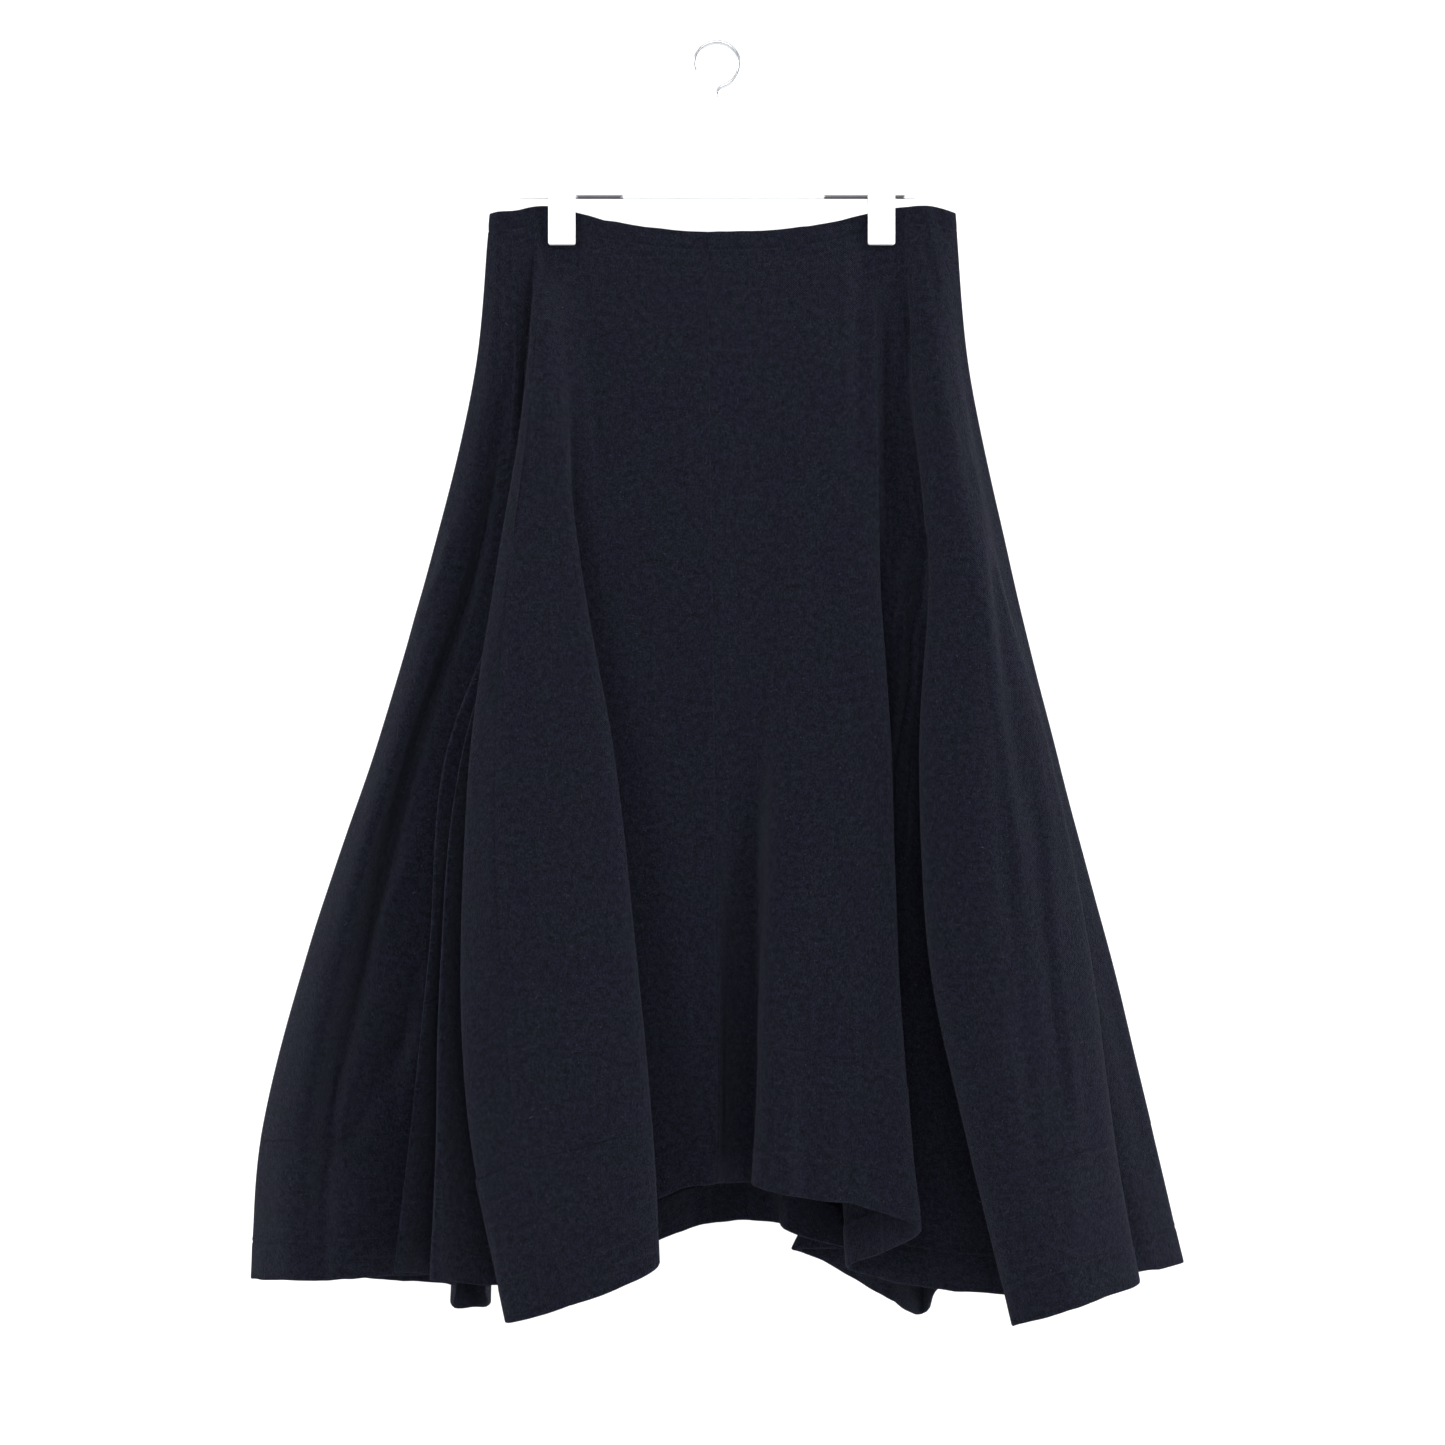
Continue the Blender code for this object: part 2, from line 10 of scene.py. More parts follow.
import bmesh
import bpy
import numpy as np
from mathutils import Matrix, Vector

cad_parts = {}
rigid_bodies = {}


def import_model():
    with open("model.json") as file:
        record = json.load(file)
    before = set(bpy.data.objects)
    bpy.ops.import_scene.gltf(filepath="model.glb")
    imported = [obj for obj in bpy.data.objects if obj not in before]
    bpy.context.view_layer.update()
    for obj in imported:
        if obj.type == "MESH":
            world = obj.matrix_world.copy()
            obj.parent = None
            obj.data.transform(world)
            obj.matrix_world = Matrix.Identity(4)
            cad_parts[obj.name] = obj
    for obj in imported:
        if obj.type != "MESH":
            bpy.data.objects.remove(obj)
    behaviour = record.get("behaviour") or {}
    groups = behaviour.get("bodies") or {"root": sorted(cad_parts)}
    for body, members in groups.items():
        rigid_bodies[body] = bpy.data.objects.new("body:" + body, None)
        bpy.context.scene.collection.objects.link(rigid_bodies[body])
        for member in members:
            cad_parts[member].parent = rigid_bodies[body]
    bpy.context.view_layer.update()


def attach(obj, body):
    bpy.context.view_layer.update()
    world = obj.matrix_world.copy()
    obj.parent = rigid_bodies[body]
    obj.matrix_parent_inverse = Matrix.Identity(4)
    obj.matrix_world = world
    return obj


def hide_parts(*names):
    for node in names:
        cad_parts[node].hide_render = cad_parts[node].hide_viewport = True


# Cloth, in metres
CLOTH = 0.0016
SEAM_GAP = 0.00006
GORE_LENGTH = 0.660
BAND_DEPTH = 0.108
FINE_COLUMN = 0.0034
FINE_ROW = 0.0040
EDGE_STEPS = (0.0, 0.0002, 0.0006, 0.0012, 0.0022)  # closer lines beside a seam, the waist edge and the hem
STITCH_STEPS = (-0.0015, -0.0006, 0.0, 0.0006, 0.0015)  # closer lines beside a row of stitches
WAIST_STITCH = 0.014
WAIST_TURN = 0.017
HEM_STITCH = 0.029
HEM_TURN = 0.033
TURNED_LAYER = 0.0011
SHARP_FOLD = 62  # degrees past which a fold of the mesh shows as an edge

# Seams: the share of the wall that a groove takes and how far it reaches, and the ridge of the allowance behind it
LONG_GROOVE, LONG_GROOVE_REACH, LONG_RIDGE = 0.42, 0.0014, 0.00030
BAND_GROOVE, BAND_GROOVE_REACH, BAND_RIDGE = 0.62, 0.0016, 0.00050
ALLOWANCE, ALLOWANCE_FADE = 0.011, 0.004
PLAIN_SEAM = 0.6

# The faint second line beside the centre-front seam: its depth, its distance from the seam and its half width
CENTRE_LINE, CENTRE_LINE_ASIDE, CENTRE_LINE_REACH = 0.00022, 0.0031, 0.0007

# Rows of stitches: how deep they draw the cloth in, and over what half width
WAIST_DRAWN_IN, HEM_DRAWN_IN = 0.00062, 0.00055
DRAWN_IN_REACH = 0.0012

# The two turned edges: how far the outside rises over the turn, how far the edge is rounded, and the share of the
# wall that is left at its very end
WAIST_RISE, WAIST_ROUND, WAIST_LEFT = 0.00030, 0.0013, 0.12
HEM_RISE, HEM_ROUND, HEM_LEFT = 0.00028, 0.0017, 0.10
WAIST_TURN_SHARE = 0.55  # of the turned layer, since the waist is pressed flatter than the hem
WAIST_TURN_FADE, HEM_TURN_FADE = 0.002, 0.0016
WAIST_PUCKER_START, WAIST_PUCKER_FADE = 0.008, 0.022

# Unevenness by chance. Columns: size of one cell along and down the cloth, in metres; its height in metres, or for
# the stitches as a share; seed
UNEVEN = {
    "lumps": (0.055, 0.110, 0.0011, 7),
    "ripples": (0.021, 0.060, 0.0004, 11),
    "waist puckers": (0.0075, 0.5, 0.00050, 21),
    "waist waves": (0.024, 0.5, 0.0007, 22),
    "waist edge": (0.012, 1.0, 0.0006, 23),
    "waist stitches": (0.0052, 0.5, 0.5, 24),
    "hem easing": (0.0085, 0.045, 0.0007, 31),
    "hem waves": (0.030, 0.2, 0.0009, 32),
    "hem edge": (0.027, 1.0, 0.0011, 33),
    "hem edge nicks": (0.009, 1.0, 0.0004, 34),
}
WRINKLE_SEED = 40
WRINKLE_LEAN = 0.10
WRINKLE_FADE_IN, WRINKLE_FADE_OUT = 0.12, 0.08
CREASE_MARGIN, WRINKLE_MARGIN = 0.10, 0.15  # shares of a layer over which they fade beside its two fold lines
CALM_WAIST, CALM_WAIST_FADE = 0.02, 0.16

# The fold lines are measured from the front, at VIEW_DISTANCE from the hanger's plane and level with VIEW_LEVEL.
VIEW_DISTANCE = 2.500
VIEW_CENTRE = 0.004
VIEW_LEVEL = -0.524

LEVELS = (-250, -400, -550, -700, -850)

# The waist edge, dipped between the clips: distance from the middle and height, in millimetres
WAIST_EDGE = (
    (-176, -130.5),
    (-154, -128.5),
    (-133, -125),
    (-109, -130),
    (-74, -139),
    (-42, -143.5),
    (-5, -146),
    (45, -144.5),
    (84, -139),
    (116, -131),
    (138, -126.5),
    (166, -126),
    (185, -130.5),
)

# Each row is one fold line, in order along the cloth from the left edge over the front to the right edge.
# Columns, in millimetres: name; distance from the middle and depth, both at the waist, at the five LEVELS and
# at the hem; height of the hem. Depth is negative towards the front. A "behind" line is a fold's hidden turn.
FRONT_FOLDS = (
    ("left_edge", (-175, -186, -221, -265, -315, -352, -359), (0, 3, 6, 8, 10, 10, 10), -954),
    ("left_wing", (-170, -177, -209, -253, -299, -333, -338), (-3, -6, -9, -13, -17, -17, -16), -955),
    ("left_wing_roll", (-167, -168, -194, -245, -288, -317, -318), (-3, -7.5, -9, -13, -18, -20, -18), -955.5),
    ("left_wing_valley", (-165, -163, -186, -236, -272, -302, -304), (-3, -8, 0, 6, 5, -10, -15), -955),
    ("left_wing_ridge", (-163, -158, -178, -226, -261, -290, -290), (-3, -8.5, -3, -2, -5, -16, -17), -954),
    ("left_wing_inner", (-161, -154, -166, -203, -222, -244, -250), (-3, -9, -4, -3, -5, -7, -7), -951.5),
    ("behind_first", (-157, -149, -156, -193, -204, -214, -222), (-3, -7.5, -6, -2, 0, 0, 2), -950),
    ("first_narrow_fold", (-154, -146.5, -154, -209, -221, -238, -249), (-3, -7.2, -12, -22, -31, -37, -39), -948),
    ("behind_second", (-150, -144.5, -153, -191, -205, -206, -207), (-3, -7.2, -15, -18, -18, -16, -15), -952),
    ("second_narrow_fold", (-147, -143, -153, -197, -212, -216, -221), (-3, -7.6, -19, -33, -43, -50, -52), -955),
    ("second_fold_face", (-144, -141.8, -154, -186, -197, -192, -189), (-3, -8.6, -21, -29, -32, -35, -35), -959),
    ("behind_left_fold", (-141, -141, -156, -173, -178, -161, -143), (-3, -11, -24, -28, -26, -24, -24), -962),
    ("left_fold_edge", (-138, -145.5, -168.5, -189.5, -197, -188.5, -162), (-3, -20, -32, -44, -54, -60, -62), -988),
    ("left_fold_seam", (-135, -141, -159, -171, -167, -150, -113), (-2, -23, -38, -51, -62, -68, -71), -974),
    ("left_fold_face", (-129, -132, -136, -130, -113, -98, -78), (-2, -24, -40, -54, -65, -71, -73), -962),
    ("left_fold_right_edge", (-124, -122, -106, -80, -63, -49, -45), (-2, -21, -36, -47, -55, -60, -62), -943),
    ("behind_left_fold_right", (-119, -112, -113, -100, -92, -85, -82), (-2, -17, -25, -29, -31, -32, -33), -918),
    ("middle_left", (-95, -95, -84, -62, -47, -36, -32), (-4, -16, -23, -26, -26, -26, -27), -886),
    ("centre_front", (-7, -6, -4, -2, -1, 0, -2), (-8, -18, -26, -29, -27, -25, -26), -881),
    ("middle_slope", (7, 8, 10, 14, 9, 6, 5), (-8, -18, -26, -29, -18, -12, -12), -879.5),
    ("middle_valley", (20, 22, 24, 31, 33, 31, 29), (-8, -18, -26, -30, -12, -6, -6), -879),
    ("right_of_middle_edge", (46, 47, 47, 46, 38, 32, 30), (-7, -18, -26, -35, -46, -52, -54), -883),
    ("right_of_middle_face", (85, 85, 85, 88, 85, 82, 76), (-5, -18, -27, -38, -49, -56, -58), -894),
    ("facet_crease", (112, 112, 114, 118, 118, 113, 110), (-2, -16, -27, -37, -47, -54, -56), -898),
    ("facet_edge", (122, 123, 125.5, 134, 140, 151, 157), (-2, -14, -24, -34, -44, -50, -52), -916),
    ("side_front_seam_right", (126, 121, 121, 126, 127, 128, 130), (-2, -11, -19, -25, -29, -32, -33), -932),
    ("valley_turn", (129, 123, 120, 117, 108, 96, 102), (-2, -7, -13, -16, -17, -17, -17), -945),
    ("valley_floor", (135, 136, 137, 145, 158, 168, 170), (-2, -4, -9, -11, -12, -12, -12), -962),
    ("behind_right_fold", (143, 147.5, 165, 176, 194, 226, 258), (-2, -5, -12, -11, -9, -7, -7), -972),
    ("right_fold_edge", (147.5, 152, 164, 158, 164, 197, 229), (-3, -12, -29, -42, -52, -58, -60), -990),
    ("right_fold_face", (161, 172, 197, 208, 222, 243, 272), (-4, -18, -35, -50, -62, -68, -70), -978),
    ("right_fold_right_edge", (172, 184, 214, 257, 288, 308, 326), (-3, -12, -18, -26, -36, -42, -44), -957),
    ("behind_right_fold_right", (176, 187, 217, 254, 275, 289, 302), (-3, -8, -10, -12, -17, -20, -21), -951),
    ("right_wing", (180.5, 190, 221, 258, 290, 316, 342), (-2, -4, -4, -4, -6, -8, -9), -947),
    ("right_edge", (183.5, 194, 226, 262, 302, 338, 360), (0, 3, 6, 8, 10, 10, 10), -942),
)

# The same from the right edge over the back to the left edge
BACK_FOLDS = (
    ("back_right_wing", (172, 182, 208, 238, 270, 297, 313), (3, 11, 18, 23, 27, 29, 31), -950),
    ("side_back_seam_right", (151, 158, 175, 196, 217, 234, 242), (3, 8, 12, 13, 13, 13, 13), -954),
    ("back_right_fold_side", (132, 137, 148, 160, 171, 176, 170), (2.5, 13, 21, 29, 35, 39, 34), -961),
    ("back_right_fold", (126, 129, 138, 148, 156, 160, 158), (2, 14, 25, 36, 44, 50, 52), -981),
    ("behind_back_right_fold", (108, 112, 122, 130, 134, 137, 138), (2, 9, 14, 18, 20, 22, 30), -971),
    ("back_right_under_tab", (101, 104, 110, 115, 117, 116, 86), (3, 10, 16, 21, 24, 28, 43), -942),
    ("back_right_tab_turn", (94, 95, 98, 101, 102, 98, 59), (4, 12, 18.5, 25, 29.5, 34, 41), -932),
    ("back_right_small_fold", (84, 84, 84, 84, 84, 86, 98), (5, 14, 21, 28, 34, 38, 30), -930),
    ("back_right_tab", (73, 73, 73, 73, 74, 75, 76), (6, 13, 18.5, 23.5, 27, 29, 26), -924),
    ("back_right_tab_corner", (60, 60, 60, 60, 60, 58, 52), (7, 12, 16, 19, 20, 21, 25), -915),
    ("beside_back_right_tab", (46, 46, 46, 46, 46, 47, 49.5), (7.5, 14, 19.5, 24, 26.5, 29, 37), -910.5),
    ("centre_back_right", (28, 28, 28, 28, 28, 28, 28), (8, 17, 25, 32, 36, 39, 41), -909),
    ("centre_back", (-7, -7, -7, -7, -7, -7, -7), (8, 16, 23, 29, 33, 36, 37), -911),
    ("back_left_valley", (-46, -46, -47, -48, -49, -50, -50), (7, 13, 18, 21, 22, 22, 22), -926),
    ("back_left_small_fold", (-80, -80, -83, -88, -92, -95, -96), (5, 15, 26, 36, 43, 48, 50), -948),
    ("behind_back_left_fold", (-109, -108, -114, -124, -132, -138, -141), (2, 9, 14, 18, 20, 21, 21), -963),
    ("back_left_tab_side", (-119, -121, -130, -142, -150, -158, -174), (2, 12, 20, 27, 32, 36, 16), -958),
    ("back_left_tab_right", (-125, -128, -140, -154, -166, -175, -176), (2, 13, 23, 33, 40, 46, 47), -973),
    ("back_left_fold", (-130, -134, -147, -162, -175, -186, -190), (2, 14, 25, 36, 44, 50, 53), -975),
    ("back_left_tab_left", (-134, -138, -153, -170, -185, -198, -206), (2, 13, 22.5, 31, 37, 42, 47), -974),
    ("back_left_tab_root", (-140, -144, -160, -179, -196, -209, -205), (2.5, 11, 18.5, 24, 28, 31, 18), -958),
    ("side_back_seam_left", (-149, -153, -173, -195, -217, -236, -244), (3, 8, 12, 14, 14, 14, 14), -956),
    ("back_left_wing", (-165, -176, -205, -242, -283, -314, -324), (3, 11, 18, 23, 27, 29, 31), -949),
)

# Gore; the fold lines that are its two seams, in order along the cloth; its cut in metres and square metres,
# without the band: widest width, length, area; width of its hem band
GORES = (
    ("front_left", "left_fold_seam", "centre_front", 0.216, 0.720, 0.129, 0.221),
    ("front_right", "centre_front", "side_front_seam_right", 0.230, 0.660, 0.099, 0.242),
    ("side_right", "side_front_seam_right", "side_back_seam_right", 0.560, 0.740, 0.212, 0.576),
    ("back_right", "side_back_seam_right", "centre_back", 0.288, 0.700, 0.151, 0.292),
    ("back_left", "centre_back", "side_back_seam_left", 0.277, 0.710, 0.143, 0.281),
    ("side_left", "side_back_seam_left", "left_fold_seam", 0.565, 0.740, 0.198, 0.580),
)

# Creases that lie on one visible layer. Columns: name; first and last fold line of that layer; path from the front
# as distances from the middle and heights in millimetres; half width and height of the crease, negative for a
# trough; lengths over which its two ends run out, also in millimetres
CREASES = (
    ("wing rim", "left_edge", "left_wing_roll", ((-203, -368), (-212, -402), (-227, -440), (-236, -470)), 4, 2.0,
     (16, 30)),
    ("wing crest", "left_wing_valley", "left_wing_inner",
     ((-217, -580), (-239, -635), (-257, -673), (-280, -737), (-292, -779), (-297, -812)), 5, 1.8, (60, 40)),
    ("wing second valley", "left_wing_roll", "behind_first",
     ((-230, -742), (-243, -770), (-259, -795), (-278, -833), (-294, -865), (-306, -893)), 11, -7.0, (34, 50)),
    ("wing shade", "left_wing_ridge", "behind_first", ((-228, -690), (-238, -745), (-248, -800), (-254, -850)), 7, -3.0,
     (30, 40)),
    ("wing cross fold", "left_edge", "left_wing_inner", ((-328, -860), (-316, -862), (-297, -868), (-278, -852)),
     5, 2.4, (14, 14)),
    ("wing low ridge", "left_edge", "behind_first", ((-252, -856), (-268, -884), (-290, -906)), 8, 2.4, (20, 24)),
    ("crevice from the left clip", "left_wing", "left_fold_edge",
     ((-137, -110), (-138.5, -138), (-140.5, -160), (-143.5, -190), (-146, -221), (-148.5, -252), (-151, -280),
      (-156, -315)), 3, -3.4, (1, 40)),
    ("drag beside the left clip", "left_wing", "behind_first",
     ((-146, -118), (-152, -160), (-158, -205)), 5, -1.4, (1, 40)),
    ("dark line by the right clip", "facet_edge", "right_fold_edge",
     ((148, -106), (148.5, -150), (149.5, -222), (152, -270)), 3, -3.2, (1, 46)),
    ("soft hollow below the right clip", "facet_edge", "valley_floor", ((130, -190), (129, -270), (128, -360)), 7, -2.4,
     (50, 50)),
    ("diagonal by the right end", "right_fold_edge", "right_fold_right_edge",
     ((156, -126), (158.5, -144), (164.5, -167), (168.5, -198), (171, -225)), 4, -1.5, (6, 36)),
    ("valley ridge", "side_front_seam_right", "behind_right_fold",
     ((150, -378), (144.5, -394), (138, -430), (132, -464)),
     4, 2.6, (14, 24)),
    ("valley crevice", "valley_floor", "right_fold_edge", ((162, -372), (160, -400), (157, -430), (155, -452)), 4, -3.4,
     (14, 20)),
    ("valley slot", "side_front_seam_right", "right_fold_edge",
     ((154, -428), (150, -462), (147.5, -507), (140, -545), (135, -590), (134, -640)), 4, -4.2, (20, 50)),
    ("valley strip", "side_front_seam_right", "right_fold_edge",
     ((157, -458), (154.5, -507), (150, -545), (146, -590), (145, -640)), 4, 3.0, (24, 50)),
    ("right fold ridge", "right_fold_edge", "right_fold_right_edge",
     ((193, -300), (199, -337), (207, -399), (211, -445), (217, -507), (225, -562), (230, -604), (240, -690)), 5, 2.3,
     (40, 90)),
    ("right fold trough", "right_fold_edge", "right_fold_right_edge",
     ((206, -380), (215, -430), (224, -490), (234, -560), (243, -620)), 7, -2.2, (50, 70)),
    ("right fold second ridge", "right_fold_edge", "right_fold_right_edge",
     ((255, -640), (262, -705), (268, -752), (277, -810), (283, -860)), 4, 1.9, (50, 60)),
    ("right fold second trough", "right_fold_edge", "right_fold_right_edge",
     ((244, -566), (250, -640), (256, -700), (263, -752), (272, -820)), 5, -2.0, (40, 60)),
    ("right fold low trough", "right_fold_edge", "right_fold_right_edge",
     ((222, -600), (229, -690), (236, -780), (247, -860), (258, -930)), 7, -1.5, (60, 60)),
    ("right fold edge hollow", "right_fold_edge", "right_fold_right_edge",
     ((168, -560), (174, -640), (186, -720), (200, -800)), 8, -1.4, (50, 60)),
    ("front left soft ridge", "middle_left", "centre_front",
     ((-44, -560), (-36, -650), (-30, -740), (-28, -830)), 10, 1.6,
     (80, 60)),
    ("front right soft ridge", "right_of_middle_edge", "facet_crease",
     ((58, -330), (56, -420), (50, -520), (46, -600)), 12, 1.6, (80, 80)),
    ("drag from the left clip", "left_fold_right_edge", "centre_front",
     ((-104, -128), (-100, -200), (-94, -300), (-88, -400)), 6, -1.8, (1, 120)),
    ("second drag from the left clip", "left_fold_right_edge", "centre_front",
     ((-92, -134), (-84, -190), (-74, -250)), 6, -1.0, (1, 70)),
    ("drag from the right clip", "right_of_middle_edge", "facet_edge",
     ((112, -128), (110, -200), (108, -300), (108, -380)), 6, -1.7, (1, 110)),
    ("second drag from the right clip", "right_of_middle_edge", "facet_edge",
     ((98, -134), (90, -190), (82, -240)), 6, -1.0, (1, 70)),
    ("front foot ridge", "right_of_middle_edge", "facet_crease", ((54, -780), (53, -840), (52, -890)), 5, 1.3, (50, 1)),
    ("front foot trough", "right_of_middle_edge", "facet_crease",
     ((70, -760), (69, -830), (70, -895)), 8, -1.7, (60, 1)),
    ("front foot second ridge", "right_of_middle_face", "facet_crease", ((92, -780), (92, -840), (91, -897)), 4, 1.3,
     (50, 1)),
    ("left fold dent", "left_fold_edge", "left_fold_right_edge", ((-150, -560), (-146, -640), (-136, -720)), 12, -1.4,
     (60, 60)),
    ("left fold ridge", "left_fold_edge", "left_fold_right_edge", ((-168, -690), (-158, -780), (-144, -870)), 10, 1.5,
     (60, 60)),
    ("right wing crease", "behind_right_fold_right", "right_edge",
     ((296, -700), (318, -800), (336, -890)), 5, -1.5, (50, 50)),
)

# The same for the layers at the back, seen through from the front
BACK_CREASES = (
    ("back middle ridge", "beside_back_right_tab", "centre_back",
     ((10, -300), (8, -450), (4, -620), (2, -760)), 11, 2.0, (90, 90)),
    ("back left drag", "centre_back", "back_left_small_fold",
     ((-70, -190), (-60, -300), (-58, -420)), 9, -1.8, (90, 90)),
    ("back right drag", "back_right_fold", "centre_back_right",
     ((92, -190), (74, -300), (70, -420)), 9, -1.8, (90, 90)),
    ("back left fold crease", "behind_back_left_fold", "side_back_seam_left",
     ((-160, -480), (-176, -640), (-184, -800)), 8, 2.2, (90, 90)),
    ("back left fold trough", "back_left_fold", "back_left_wing",
     ((-205, -560), (-226, -700), (-238, -860)), 9, -2.4, (90, 90)),
    ("back right fold crease", "side_back_seam_right", "behind_back_right_fold",
     ((150, -500), (158, -650), (162, -820)), 8, 2.0, (90, 90)),
    ("back right trough", "back_right_wing", "back_right_fold",
     ((204, -520), (222, -660), (232, -830)), 9, -2.4, (90, 90)),
    ("back wing left ridge", "side_back_seam_left", "back_left_wing",
     ((-262, -640), (-292, -780), (-306, -900)), 8, 2.0, (90, 90)),
    ("back wing right ridge", "right_edge", "side_back_seam_right",
     ((248, -640), (276, -780), (292, -900)), 8, 2.0, (90, 90)),
    ("back low ridge", "centre_back", "behind_back_left_fold",
     ((-70, -620), (-74, -740), (-72, -860)), 9, 1.8, (90, 90)),
)

# How clearly the band's seam shows at a fold line, from 0, pressed flat, to 1
BAND_SEAM = (
    ("left_edge", 0.10),
    ("behind_left_fold", 0.10),
    ("left_fold_edge", 1.00),
    ("left_fold_seam", 1.00),
    ("left_fold_face", 0.45),
    ("left_fold_right_edge", 0.55),
    ("middle_left", 0.60),
    ("right_of_middle_face", 0.55),
    ("facet_edge", 0.50),
    ("valley_floor", 0.30),
    ("right_fold_edge", 0.10),
    ("right_edge", 0.10),
    ("side_back_seam_right", 0.50),
    ("side_back_seam_left", 0.50),
    ("back_left_wing", 0.10),
)

# How clearly a long seam of the body shows, where it isn't plain
BODY_SEAM = {"left_fold_seam": 0.05, "centre_front": 0.9}

# Fine wrinkles down a layer: first and last fold line; heights in millimetres where they start and end; distance
# between them, their length and their height in millimetres
WRINKLES = (
    ("right_fold_edge", "right_fold_right_edge", -330, -960, 11, 150, 0.75),
    ("right_fold_edge", "right_fold_right_edge", -420, -990, 6, 80, 0.30),
    ("left_edge", "behind_first", -480, -930, 16, 120, 0.50),
    ("left_fold_edge", "left_fold_right_edge", -420, -960, 21, 190, 0.45),
    ("left_fold_right_edge", "facet_crease", -220, -880, 26, 210, 0.40),
    ("valley_turn", "behind_right_fold", -260, -900, 9, 110, 0.45),
    ("first_narrow_fold", "behind_left_fold", -500, -960, 12, 160, 0.35),
    ("right_edge", "side_back_seam_right", -420, -940, 14, 130, 0.55),
    ("side_back_seam_right", "side_back_seam_left", -230, -930, 22, 180, 0.50),
    ("back_right_small_fold", "back_left_valley", -780, -930, 9, 120, 1.30),
    ("side_back_seam_left", "back_left_wing", -420, -940, 14, 130, 0.55),
)

# Rows of stitches. Columns: name; whether on the band; distance from the edge, pitch, length and thickness, in metres
STITCHING = (
    ("waist_stitching", False, WAIST_STITCH, 0.0031, 0.0024, 0.00042),
    ("hem_stitching", True, HEM_STITCH, 0.0033, 0.0025, 0.00042),
)

# A stitch's rings. Columns: share of its length; share of its thickness; share of its rise
STITCH_RINGS = (
    (0.0, 0.25, -0.6),
    (0.14, 0.85, 0.35),
    (0.5, 1.0, 1.0),
    (0.86, 0.85, 0.35),
    (1.0, 0.25, -0.6),
)
STITCH_SIDES = 5
STITCH_RISE = 0.30

# Loose fibres and lint. Columns: name; number; length, thickness and rise in metres; seed
LOOSE = (
    ("wool_fuzz", 9000, 0.0030, 0.00007, 0.0008, 5),
    ("lint", 80, 0.0032, 0.00016, 0.0004, 6),
)
CLEAR_OF_CLIP = 0.02
CLEAR_ABOVE = -0.16

# Hanger, with the same sizes as its solids, in metres and degrees
BAR_LENGTH = 0.379
BAR_HEIGHT = 0.029
BAR_THICK = 0.012
BAR_TOP = -0.046
BAR_CENTRE = -0.001
BAR_EDGE = 0.003
BOSS_RADIUS = 0.006
BOSS_HEIGHT = 0.004
HOOK_WIRE = 0.0036
HOOK_RADIUS = 0.0155
HOOK_SEAT = 0.012
HOOK_OPEN_END = 195
HOOK_NECK_START = -70.46
HOOK_NECK_RADIUS = 0.0087
FRAME_WIRE = 0.003
FRAME_LEFT = -0.157
FRAME_RIGHT = 0.157
FRAME_BOTTOM = -0.118
FRAME_CORNER = 0.006
FRAME_SEAT = 0.008
FIT = 0.0003
CLIP_CENTRES = (("clip_left", -0.1196), ("clip_right", 0.1269))
CLIP_WIDTH = 0.021
CLIP_TOP = -0.091
CLIP_FOOT = -0.1555
CLIP_PLATE = 0.0028
CLIP_LIP = 0.016
CLIP_ROUND = 0.0018
SLEEVE_RADIUS = 0.0042
PINCH = 0.0012
PINCH_REACH_X = 0.018
PINCH_REACH_Z = 0.060
TOUCHING = 1e-5

# Where the wire's white coating is worn to the steel, from and to across, in metres
WORN_STRETCHES = ((-0.109, -0.073), (0.083, 0.117), (0.137, 0.145))

# Soft lights, all turned to the middle of the skirt: name, place, width and height in metres, power in watts
LIGHTS = (
    ("left window", (-2.07, -1.74, 0.55), (0.9, 0.9), 35),
    ("right window", (2.3, -1.2, -0.1), (1.2, 2.0), 44),
    ("above the camera", (0.0, -2.0, 1.3), (1.2, 0.8), 28),
    ("left side", (-2.6, -0.22, -0.5), (0.5, 2.0), 13),
    ("right side", (2.6, -0.22, -0.5), (0.5, 2.0), 24),
)
LIT_MIDDLE = (0.0, 0.0, -0.55)
ROOM_LIGHT = 0.38

STAGE_SIZE = 16.0
FLOOR_HEIGHT = -1.35
WALL_BEHIND = 0.095

CAMERA_ASIDE = 0.0043
LENS = 80.6


# The folded surface


def smooth_step(value):
    value = np.clip(value, 0.0, 1.0)
    return value * value * (3.0 - 2.0 * value)


def through(heights, values, at):
    """A smooth curve through the values given at falling heights, going on straight past both ends."""
    heights = -np.asarray(heights)
    values = np.asarray(values)
    at = -np.asarray(at)
    slopes = np.diff(values) / np.diff(heights)
    bends = np.concatenate([slopes[:1], (slopes[1:] + slopes[:-1]) / 2, slopes[-1:]])
    span = np.clip(np.searchsorted(heights, at) - 1, 0, len(slopes) - 1)
    width = heights[span + 1] - heights[span]
    share = (at - heights[span]) / width
    inside = np.clip(share, 0.0, 1.0)
    start = values[span] * (2 * inside**3 - 3 * inside**2 + 1)
    start = start + bends[span] * width * (inside**3 - 2 * inside**2 + inside)
    end = values[span + 1] * (3 * inside**2 - 2 * inside**3)
    end = end + bends[span + 1] * width * (inside**3 - inside**2)
    past = np.where(share > 1, bends[span + 1], bends[span]) * (share - inside) * width
    return start + end + past


def waist_height(x):
    along, height = np.array(WAIST_EDGE).T / 1000
    return through(-along, height, -np.asarray(x))


